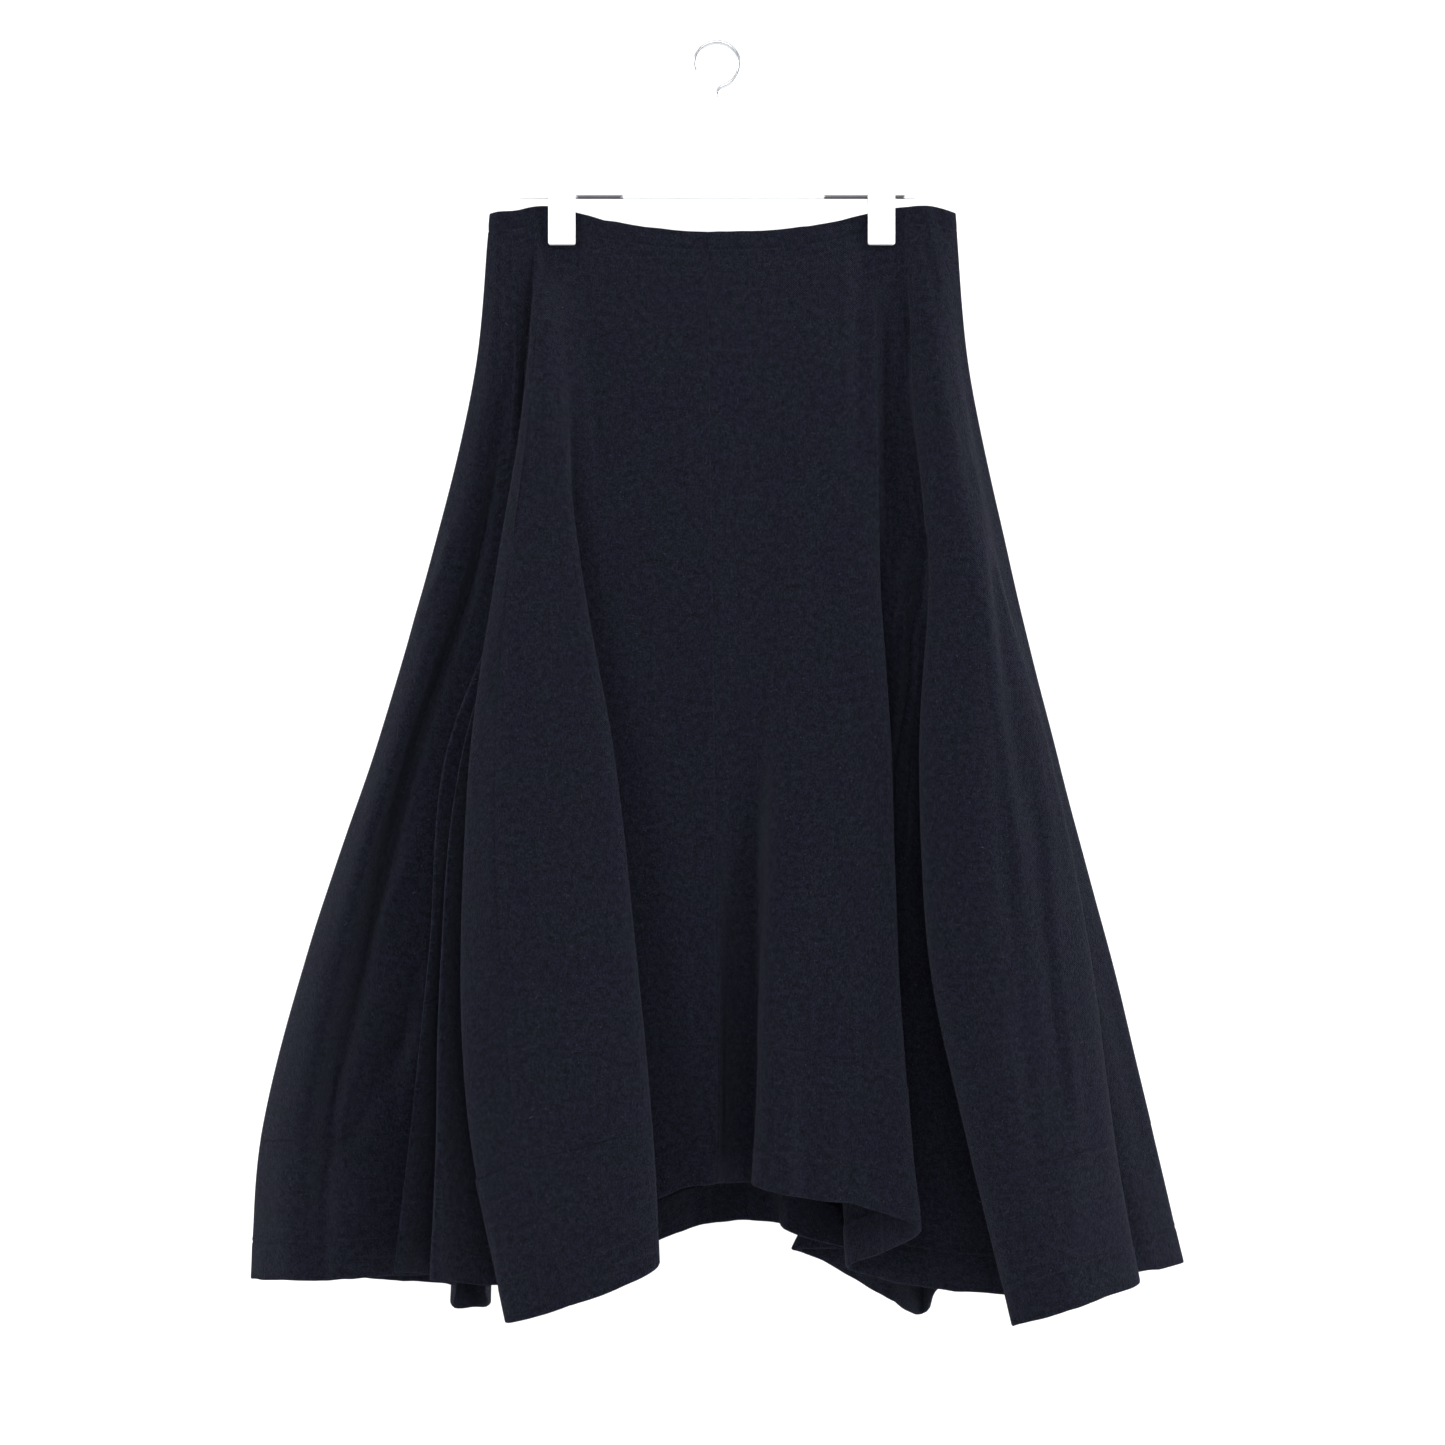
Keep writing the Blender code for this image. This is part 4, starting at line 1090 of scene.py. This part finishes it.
def fibre_material(group):
    tones = (0.007, 0.008, 0.013), (0.022, 0.025, 0.038)
    return strand_material(group, "Loose wool fibres", 900.0, *tones, Roughness=0.8, Sheen_Weight=0.2)[0]


def white_material(group, name, colour, roughness, grain):
    material, tree, shader = new_material(name)
    marks = use_group(tree, group, object_place(tree), Grain_size=grain)
    soiled = tuple(value * 0.93 for value in colour)
    base = mix_colour(tree, marks["Smudges"], colour, soiled)
    dust = maths(tree, "MULTIPLY", marks["Dust"], 0.15)
    base = mix_colour(tree, dust, base, (0.62, 0.62, 0.60))
    tree.links.new(base, shader.inputs["Base Color"])
    rough = fit_range(tree, marks["Smudges"], 0.0, 1.0, roughness, roughness + 0.14)
    tree.links.new(rough, shader.inputs["Roughness"])
    bump(tree, shader, marks["Height"], 0.12, 0.0003)
    return material, tree, shader, base


def steel_material(group):
    material, tree, shader = new_material("Bright steel wire")
    marks = use_group(tree, group, object_place(tree), Grain_size=1500.0)
    colour = mix_colour(tree, marks["Smudges"], (0.66, 0.67, 0.69), (0.50, 0.51, 0.53))
    tree.links.new(colour, shader.inputs["Base Color"])
    shader.inputs["Metallic"].default_value = 1.0
    tree.links.new(fit_range(tree, marks["Height"], 0.3, 0.7, 0.16, 0.34), shader.inputs["Roughness"])
    bump(tree, shader, marks["Height"], 0.10, 0.0002)
    return material


def worn_wire_material(group):
    """White coating, rubbed through to the steel where the clips slide."""
    material, tree, shader, white = white_material(group, "Worn white wire", (0.82, 0.83, 0.84), 0.32, 1400.0)
    place = object_place(tree)
    split = add_node(tree, "ShaderNodeSeparateXYZ")
    tree.links.new(place, split.inputs[0])
    ragged = maths(tree, "SUBTRACT", noise(tree, place, 420, 4.0, 0.7), 0.5)
    ragged = maths(tree, "MULTIPLY", ragged, 0.010)
    across = maths(tree, "ADD", split.outputs["X"], ragged)
    low = fit_range(tree, split.outputs["Z"], FRAME_BOTTOM + 0.004, FRAME_BOTTOM + 0.003)
    worn = None
    for start, end in WORN_STRETCHES:
        middle, half = (start + end) / 2, (end - start) / 2
        away = maths(tree, "ABSOLUTE", maths(tree, "SUBTRACT", across, middle))
        stretch = fit_range(tree, away, half + 0.0012, half - 0.0012)
        worn = stretch if worn is None else maths(tree, "MAXIMUM", worn, stretch)
    worn = maths(tree, "MULTIPLY", worn, low)
    tree.links.new(mix_colour(tree, worn, white, (0.085, 0.085, 0.095)), shader.inputs["Base Color"])
    tree.links.new(maths(tree, "MULTIPLY", worn, 0.60), shader.inputs["Metallic"])
    return material


# Stitches, fibres and lint


def line_along(sheets, band, distance):
    """Points on the outer face at a distance from the waist edge or the hem, with the outward direction, all round."""
    points, outward = [], []
    for gore, hem in sheets:
        sheet = hem if band else gore
        down = arc_lengths(sheet.outer, 1)
        at = down[:, -1] - distance if band else np.full(len(down), distance)
        for i in range(1, len(down) - 1):
            row = np.clip(np.searchsorted(down[i], at[i]), 1, down.shape[1] - 1)
            share = (at[i] - down[i, row - 1]) / (down[i, row] - down[i, row - 1])
            points.append(sheet.outer[i, row - 1] * (1 - share) + sheet.outer[i, row] * share)
            outward.append(sheet.outward[i, row])
    return np.array(points), np.array(outward)


def stitch_shape(start, end, outward, thickness):
    """Points of one stitch: a short bulged thread that dips into the cloth at both ends."""
    along = (end - start) / np.linalg.norm(end - start)
    side = np.cross(along, outward)
    rise = thickness * STITCH_RISE
    rings = []
    for share, width, lift in STITCH_RINGS:
        centre = start + (end - start) * share + outward * rise * lift
        for step in range(STITCH_SIDES):
            angle = 2 * math.pi * step / STITCH_SIDES
            spoke = side * math.cos(angle) + outward * math.sin(angle)
            rings.append(centre + spoke * thickness / 2 * width)
    return rings


def stitch_faces():
    faces = []
    for ring in range(len(STITCH_RINGS) - 1):
        for step in range(STITCH_SIDES):
            after = (step + 1) % STITCH_SIDES
            a, b = ring * STITCH_SIDES, (ring + 1) * STITCH_SIDES
            faces += [(a + step, b + step, b + after), (a + step, b + after, a + after)]
    last = (len(STITCH_RINGS) - 1) * STITCH_SIDES
    for step in range(1, STITCH_SIDES - 1):
        faces.append((0, step, step + 1))
        faces.append((last, last + step + 1, last + step))
    return faces


def make_stitching(name, sheets, band, distance, pitch, length, thickness, finish):
    """A row of stitches all round, joined into one piece. None lies under a clip."""
    line, outward = line_along(sheets, band, distance)
    steps = np.linalg.norm(np.diff(line, axis=0), axis=1)
    travelled = np.concatenate([[0.0], np.cumsum(steps)])
    points, faces = [], []
    shape = np.array(stitch_faces())

    def along(values, at):
        return np.array([np.interp(at, travelled, values[:, axis]) for axis in range(3)])

    for start in np.arange(0.0, travelled[-1] - length, pitch):
        ends = [along(line, start), along(line, start + length)]
        normal = along(outward, start + length / 2)
        normal /= max(np.linalg.norm(normal), 1e-9)
        middle = (ends[0] + ends[1]) / 2
        under_clip = any(abs(middle[0] - centre) < CLIP_WIDTH / 2 + 0.001 for _, centre in CLIP_CENTRES)
        if np.linalg.norm(ends[1] - ends[0]) < length * 0.6 or (under_clip and not band):
            continue
        faces.append(shape + len(points))
        points += stitch_shape(ends[0], ends[1], normal, thickness)
    return mesh_piece(name, np.array(points), np.concatenate(faces), finish)


def scattered_places(sheets, count, chooser):
    """Places spread evenly over the outer faces, each with its outward direction and the way down the cloth."""
    corners, normals = [], []
    for sheet in (sheet for pair in sheets for sheet in pair):
        outer = sheet.outer[1:-1, 1:-1]
        four = np.stack([outer[:-1, :-1], outer[1:, :-1], outer[:-1, 1:], outer[1:, 1:]], axis=2)
        corners.append(four.reshape(-1, 4, 3))
        normals.append(sheet.outward[1:-2, 1:-2].reshape(-1, 3))
    corners, normals = np.concatenate(corners), np.concatenate(normals)
    spans = np.cross(corners[:, 1] - corners[:, 0], corners[:, 2] - corners[:, 0])
    areas = np.linalg.norm(spans, axis=1)
    picks = chooser.choice(len(corners), size=count, p=areas / areas.sum())
    x, y = chooser.uniform(0, 1, (2, count, 1))
    a, b, c, d = np.moveaxis(corners[picks], 1, 0)
    places = (a * (1 - x) + b * x) * (1 - y) + (c * (1 - x) + d * x) * y
    down = (c - a) / np.maximum(np.linalg.norm(c - a, axis=1, keepdims=True), 1e-9)
    return places, normals[picks], down


def make_fibres(name, sheets, count, length, thickness, lift, seed, finish):
    """Short bent fibres that stand out of the cloth, each a narrow three-sided spike in two parts."""
    chooser = np.random.default_rng(seed)
    place, outward, down = scattered_places(sheets, count, chooser)
    beside_clip = np.min([abs(place[:, 0] - centre) for _, centre in CLIP_CENTRES], axis=0)
    held = (place[:, 2] > CLEAR_ABOVE) & (beside_clip < CLEAR_OF_CLIP)
    place, outward, down = place[~held], outward[~held], down[~held]
    side = np.cross(outward, down)
    turn, reach, rise, bow, droop = chooser.uniform(0, 1, (5, len(place), 1))
    lean = down * np.cos(2 * math.pi * turn) + side * np.sin(2 * math.pi * turn)
    across = np.cross(outward, lean)
    reach = length * (0.4 + reach)
    rise = lift * (0.2 + rise)
    root = place - outward * 0.0002
    bend = place + lean * reach * 0.5 + outward * rise + across * reach * (bow - 0.5) * 0.6
    tip = place + lean * reach + outward * rise * (0.1 + droop)
    rings = []
    for centre, width in ((root, 1.0), (bend, 0.8)):
        rings += [
            centre + across * thickness * width / 2,
            centre - across * thickness * width / 2,
            centre + outward * thickness * width * 0.8,
        ]
    points = np.stack([*rings, tip], axis=1)
    lower = [(0, 1, 4), (0, 4, 3), (1, 2, 5), (1, 5, 4), (2, 0, 3), (2, 3, 5)]
    upper = [(3, 4, 6), (4, 5, 6), (5, 3, 6), (0, 2, 1)]
    faces = np.array(lower + upper)[None] + np.arange(len(place))[:, None, None] * points.shape[1]
    return mesh_piece(name, points.reshape(-1, 3), faces.reshape(-1, 3), finish)


# The hanger, modelled by hand


def deselect_all():
    for other in bpy.context.scene.objects:
        other.select_set(False)


def only(piece):
    """Makes one object the active and only selected one."""
    deselect_all()
    piece.select_set(True)
    bpy.context.view_layer.objects.active = piece


def new_from_primitive(name, add, **values):
    deselect_all()
    add(**values)
    piece = bpy.context.active_object
    piece.name = name
    piece.data.name = name
    only(piece)
    bpy.ops.object.transform_apply(location=True, rotation=True, scale=True)
    return piece


def editing(piece, kind="FACE"):
    only(piece)
    bpy.ops.object.mode_set(mode="EDIT")
    bpy.ops.mesh.select_mode(type=kind)
    bpy.ops.mesh.select_all(action="DESELECT")
    return bmesh.from_edit_mesh(piece.data)


def pick_faces(piece, test):
    """Selects the faces whose centre and normal pass the test."""
    shell = editing(piece)
    for face in shell.faces:
        face.select_set(test(face.calc_center_median(), face.normal))
    shell.select_flush_mode()
    bmesh.update_edit_mesh(piece.data)


def pick_edges(piece, test):
    """Selects the edges whose middle and direction pass the test."""
    shell = editing(piece, "EDGE")
    for edge in shell.edges:
        a, b = (vert.co for vert in edge.verts)
        edge.select_set(test((a + b) / 2, (b - a).normalized()))
    shell.select_flush_mode()
    bmesh.update_edit_mesh(piece.data)


def finish_piece(piece, material, node, angle=35):
    if piece.mode == "EDIT":
        bpy.ops.object.mode_set(mode="OBJECT")
    only(piece)
    bpy.ops.object.mode_set(mode="EDIT")
    bpy.ops.mesh.select_all(action="SELECT")
    bpy.ops.mesh.remove_doubles(threshold=0.00002)
    bpy.ops.mesh.normals_make_consistent(inside=False)
    bpy.ops.object.mode_set(mode="OBJECT")
    bpy.ops.object.shade_smooth_by_angle(angle=math.radians(angle))
    piece.data.materials.clear()
    piece.data.materials.append(material)
    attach(piece, "root")
    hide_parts(node)


def extrude(move):
    bpy.ops.mesh.extrude_region_move(TRANSFORM_OT_translate={"value": move})


def make_hook():
    """A ring of wire, spun round the crown and back round the neck, then drawn down into the bar."""
    radius = HOOK_RADIUS + HOOK_WIRE / 2
    open_end = math.radians(HOOK_OPEN_END)
    crown = (0.0, 0.0, -HOOK_RADIUS)
    tip = (radius * math.cos(open_end), 0.0, crown[2] + radius * math.sin(open_end))
    hook = new_from_primitive(
        "hook",
        bpy.ops.mesh.primitive_circle_add,
        vertices=24,
        radius=HOOK_WIRE / 2,
        fill_type="NGON",
        location=tip,
        rotation=(0.0, math.pi - open_end, 0.0),
    )
    editing(hook)
    bpy.ops.mesh.select_all(action="SELECT")
    sweep = math.radians(HOOK_OPEN_END - HOOK_NECK_START)
    bpy.ops.mesh.spin(steps=64, angle=-sweep, center=crown, axis=(0, 1, 0))
    neck_angle = math.radians(-HOOK_NECK_START)
    neck_centre = (
        (radius + HOOK_NECK_RADIUS) * math.cos(neck_angle),
        0.0,
        crown[2] - (radius + HOOK_NECK_RADIUS) * math.sin(neck_angle),
    )
    bpy.ops.mesh.spin(steps=16, angle=neck_angle, center=neck_centre, axis=(0, 1, 0))
    extrude((0.0, 0.0, BAR_TOP - HOOK_SEAT * 0.6 - neck_centre[2]))
    return hook


def make_wire():
    """The wire that the clips ride on: down from the bar, across and up again."""
    top = BAR_TOP - BAR_HEIGHT + FRAME_SEAT - 0.0005
    wire = new_from_primitive(
        "clip_wire",
        bpy.ops.mesh.primitive_circle_add,
        vertices=20,
        radius=FRAME_WIRE / 2,
        fill_type="NGON",
        location=(FRAME_LEFT, 0.0, top),
    )
    editing(wire)
    bpy.ops.mesh.select_all(action="SELECT")
    low = FRAME_BOTTOM + FRAME_CORNER
    extrude((0.0, 0.0, low - top))
    bpy.ops.mesh.spin(steps=10, angle=math.pi / 2, center=(FRAME_LEFT + FRAME_CORNER, 0.0, low), axis=(0, 1, 0))
    extrude((FRAME_RIGHT - FRAME_LEFT - 2 * FRAME_CORNER, 0.0, 0.0))
    bpy.ops.mesh.spin(steps=10, angle=math.pi / 2, center=(FRAME_RIGHT - FRAME_CORNER, 0.0, low), axis=(0, 1, 0))
    extrude((0.0, 0.0, top - low))
    return wire


def make_bar():
    """A round-edged bar with a collar for the hook."""
    bar = new_from_primitive(
        "bar",
        bpy.ops.mesh.primitive_cube_add,
        size=1.0,
        location=(BAR_CENTRE, 0.0, BAR_TOP - BAR_HEIGHT / 2),
        scale=(BAR_LENGTH, BAR_THICK, BAR_HEIGHT),
    )
    pick_edges(bar, lambda middle, direction: True)
    bpy.ops.mesh.bevel(offset=BAR_EDGE, segments=7, affect="EDGES")
    bpy.ops.object.mode_set(mode="OBJECT")
    collar = new_from_primitive(
        "collar",
        bpy.ops.mesh.primitive_cylinder_add,
        vertices=48,
        radius=BOSS_RADIUS,
        depth=BOSS_HEIGHT + 0.002,
        location=(0.0, 0.0, BAR_TOP + BOSS_HEIGHT / 2 - 0.001),
    )
    pick_faces(collar, lambda centre, normal: normal.z > 0.9)
    bpy.ops.mesh.bevel(offset=0.001, segments=4, affect="EDGES")
    pick_faces(collar, lambda centre, normal: normal.z > 0.999 and centre.z > BAR_TOP + BOSS_HEIGHT - 0.0002)
    bpy.ops.mesh.inset(thickness=BOSS_RADIUS - 0.001 - HOOK_WIRE / 2 - FIT)
    extrude((0.0, 0.0, -0.0022))
    bpy.ops.object.mode_set(mode="OBJECT")
    only(bar)
    joint = bar.modifiers.new("collar", "BOOLEAN")
    joint.operation = "UNION"
    joint.solver = "EXACT"
    joint.object = collar
    bpy.ops.object.modifier_apply(modifier=joint.name)
    bpy.data.objects.remove(collar, do_unlink=True)
    return bar


def make_jaw(name, centre, side):
    """A clip's plate with a thicker gripping end, round at its corners. Side is -1 in front and 1 behind."""
    inner = SLEEVE_RADIUS + FIT
    grip = PINCH + CLOTH / 2 + FIT
    plate = new_from_primitive(
        name,
        bpy.ops.mesh.primitive_cube_add,
        size=1.0,
        location=(centre, side * (inner + CLIP_PLATE / 2), (CLIP_TOP + CLIP_FOOT) / 2),
        scale=(CLIP_WIDTH, CLIP_PLATE, CLIP_TOP - CLIP_FOOT),
    )
    editing(plate)
    bpy.ops.mesh.select_all(action="SELECT")
    bpy.ops.mesh.bisect(plane_co=(centre, 0.0, CLIP_FOOT + CLIP_LIP), plane_no=(0, 0, 1))
    pick_faces(plate, lambda c, normal: normal.y * side < -0.9 and c.z < CLIP_FOOT + CLIP_LIP)
    extrude((0.0, -side * (inner - grip), 0.0))
    corners = (centre - CLIP_WIDTH / 2, centre + CLIP_WIDTH / 2)

    def is_corner(middle, direction):
        at_side = min(abs(middle.x - corner) for corner in corners) < TOUCHING
        at_end = min(abs(middle.z - CLIP_TOP), abs(middle.z - CLIP_FOOT)) < TOUCHING
        return at_side and at_end and abs(direction.y) > 0.9

    pick_edges(plate, is_corner)
    bpy.ops.mesh.bevel(offset=CLIP_ROUND, segments=10, affect="EDGES")
    outer = inner + CLIP_PLATE
    pick_edges(plate, lambda middle, direction: abs(middle.y * side - outer) < TOUCHING and abs(direction.y) < 0.1)
    bpy.ops.mesh.bevel(offset=0.0006, segments=4, affect="EDGES")
    pick_faces(plate, lambda c, normal: normal.y * side > 0.99 and abs(c.y * side - outer) < TOUCHING)
    bpy.ops.mesh.inset(thickness=0.0016)
    bpy.ops.transform.translate(value=(0.0, -side * 0.00025, 0.0))
    return plate


def make_sleeve(name, centre):
    """A clip's sleeve, a tube turned round the wire."""
    bore = FRAME_WIRE / 2 + FIT
    ring = new_from_primitive(
        name,
        bpy.ops.mesh.primitive_circle_add,
        vertices=32,
        radius=SLEEVE_RADIUS,
        fill_type="NGON",
        location=(centre - CLIP_WIDTH / 2 + 0.003, 0.0, FRAME_BOTTOM),
        rotation=(0.0, math.pi / 2, 0.0),
    )
    editing(ring)
    bpy.ops.mesh.select_all(action="SELECT")
    bpy.ops.mesh.inset(thickness=SLEEVE_RADIUS - bore)
    bpy.ops.mesh.delete(type="FACE")
    bpy.ops.mesh.select_all(action="SELECT")
    extrude((CLIP_WIDTH - 0.006, 0.0, 0.0))
    return ring


def make_hanger(lacquer, steel, wire, plastic):
    finish_piece(make_hook(), steel, "hanger_hook", angle=60)
    finish_piece(make_wire(), wire, "hanger_wire", angle=60)
    finish_piece(make_bar(), lacquer, "hanger_bar")
    for name, centre in CLIP_CENTRES:
        for place, side in (("front", -1), ("back", 1)):
            jaw = make_jaw(f"{name}_{place}_plate", centre, side)
            finish_piece(jaw, plastic, f"{name}_{place}_jaw")
        finish_piece(make_sleeve(f"{name}_roll", centre), plastic, f"{name}_sleeve")


# Stage, light and camera


def stage_material(name, colour, seen_from_behind, glow):
    material, tree, shader = new_material(name)
    marks = noise(tree, object_place(tree), 3.0, 2.0, 0.5)
    base = mix_colour(tree, marks, colour, tuple(value * 0.985 for value in colour))
    tree.links.new(base, shader.inputs["Base Color"])
    shader.inputs["Roughness"].default_value = 0.9
    shader.inputs["Emission Color"].default_value = (1.0, 1.0, 1.0, 1.0)
    shader.inputs["Emission Strength"].default_value = glow
    material.cycles.emission_sampling = "NONE"
    if not seen_from_behind:
        clear = add_node(tree, "ShaderNodeBsdfTransparent")
        facing = add_node(tree, "ShaderNodeNewGeometry")
        either = add_node(tree, "ShaderNodeMixShader")
        tree.links.new(facing.outputs["Backfacing"], either.inputs[0])
        tree.links.new(shader.outputs[0], either.inputs[1])
        tree.links.new(clear.outputs[0], either.inputs[2])
        tree.links.new(either.outputs[0], tree.nodes["Material Output"].inputs["Surface"])
    return material


def make_stage():
    """A pale floor, and a white wall close behind the skirt that is clear from its back."""
    add_plane = bpy.ops.mesh.primitive_plane_add
    floor = new_from_primitive("floor", add_plane, size=STAGE_SIZE, location=(0, 0, FLOOR_HEIGHT))
    floor.data.materials.append(stage_material("Pale floor", (0.86, 0.86, 0.86), True, 0.05))
    wall = new_from_primitive(
        "wall",
        add_plane,
        size=STAGE_SIZE,
        location=(0, WALL_BEHIND, FLOOR_HEIGHT + STAGE_SIZE / 2),
        rotation=(math.pi / 2, 0, 0),
    )
    wall.data.materials.append(stage_material("White wall", (0.40, 0.40, 0.40), False, 0.78))
    wall.visible_shadow = False


def area_light(name, place, size, power):
    lamp = bpy.data.lights.new(name, "AREA")
    lamp.shape = "RECTANGLE"
    lamp.size, lamp.size_y = size
    lamp.energy = power
    thing = bpy.data.objects.new(name, lamp)
    thing.location = place
    thing.rotation_euler = (Vector(LIT_MIDDLE) - Vector(place)).to_track_quat("-Z", "Y").to_euler()
    bpy.context.scene.collection.objects.link(thing)


def make_light():
    """A white room with soft windows in front, a light above the camera and one along each side."""
    world = bpy.data.worlds.new("White room")
    world.use_nodes = True
    tree = world.node_tree
    sky = tree.nodes["Background"]
    sky.inputs["Color"].default_value = (0.97, 0.985, 1.0, 1.0)
    seen = add_node(tree, "ShaderNodeLightPath").outputs["Is Camera Ray"]
    tree.links.new(fit_range(tree, seen, 0.0, 1.0, ROOM_LIGHT, 1.0), sky.inputs["Strength"])
    bpy.context.scene.world = world
    for name, place, size, power in LIGHTS:
        area_light(name, place, size, power)


def make_camera():
    lens = bpy.data.cameras.new("camera")
    lens.lens = LENS
    lens.sensor_width = 36
    lens.clip_end = 30
    camera = bpy.data.objects.new("camera", lens)
    camera.location = (CAMERA_ASIDE, -VIEW_DISTANCE, VIEW_LEVEL)
    camera.rotation_euler = (math.pi / 2, 0, 0)
    bpy.context.scene.collection.objects.link(camera)
    bpy.context.scene.camera = camera


def corners(bounds):
    return [list(corner) for corner in bounds]


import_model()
bpy.context.scene.view_settings.view_transform = "Standard"
make_camera()
make_light()
make_stage()
fulled = fulled_cloth_group()
grain = surface_grain_group()
wool = wool_material(fulled)
thread = thread_material(fulled)
sheets = make_cloth(wool)
lacquer = white_material(grain, "White lacquer", (0.90, 0.90, 0.90), 0.30, 700.0)[0]
plastic = white_material(grain, "White plastic", (0.90, 0.905, 0.91), 0.34, 1100.0)[0]
make_hanger(lacquer, steel_material(grain), worn_wire_material(grain), plastic)
trim = [make_stitching(name, sheets, *row, thread) for name, *row in STITCHING]
for (name, *row), finish in zip(LOOSE, (fibre_material(fulled), lint_material(fulled))):
    trim.append(make_fibres(name, sheets, *row, finish))
for piece in trim:
    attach(piece, "root")
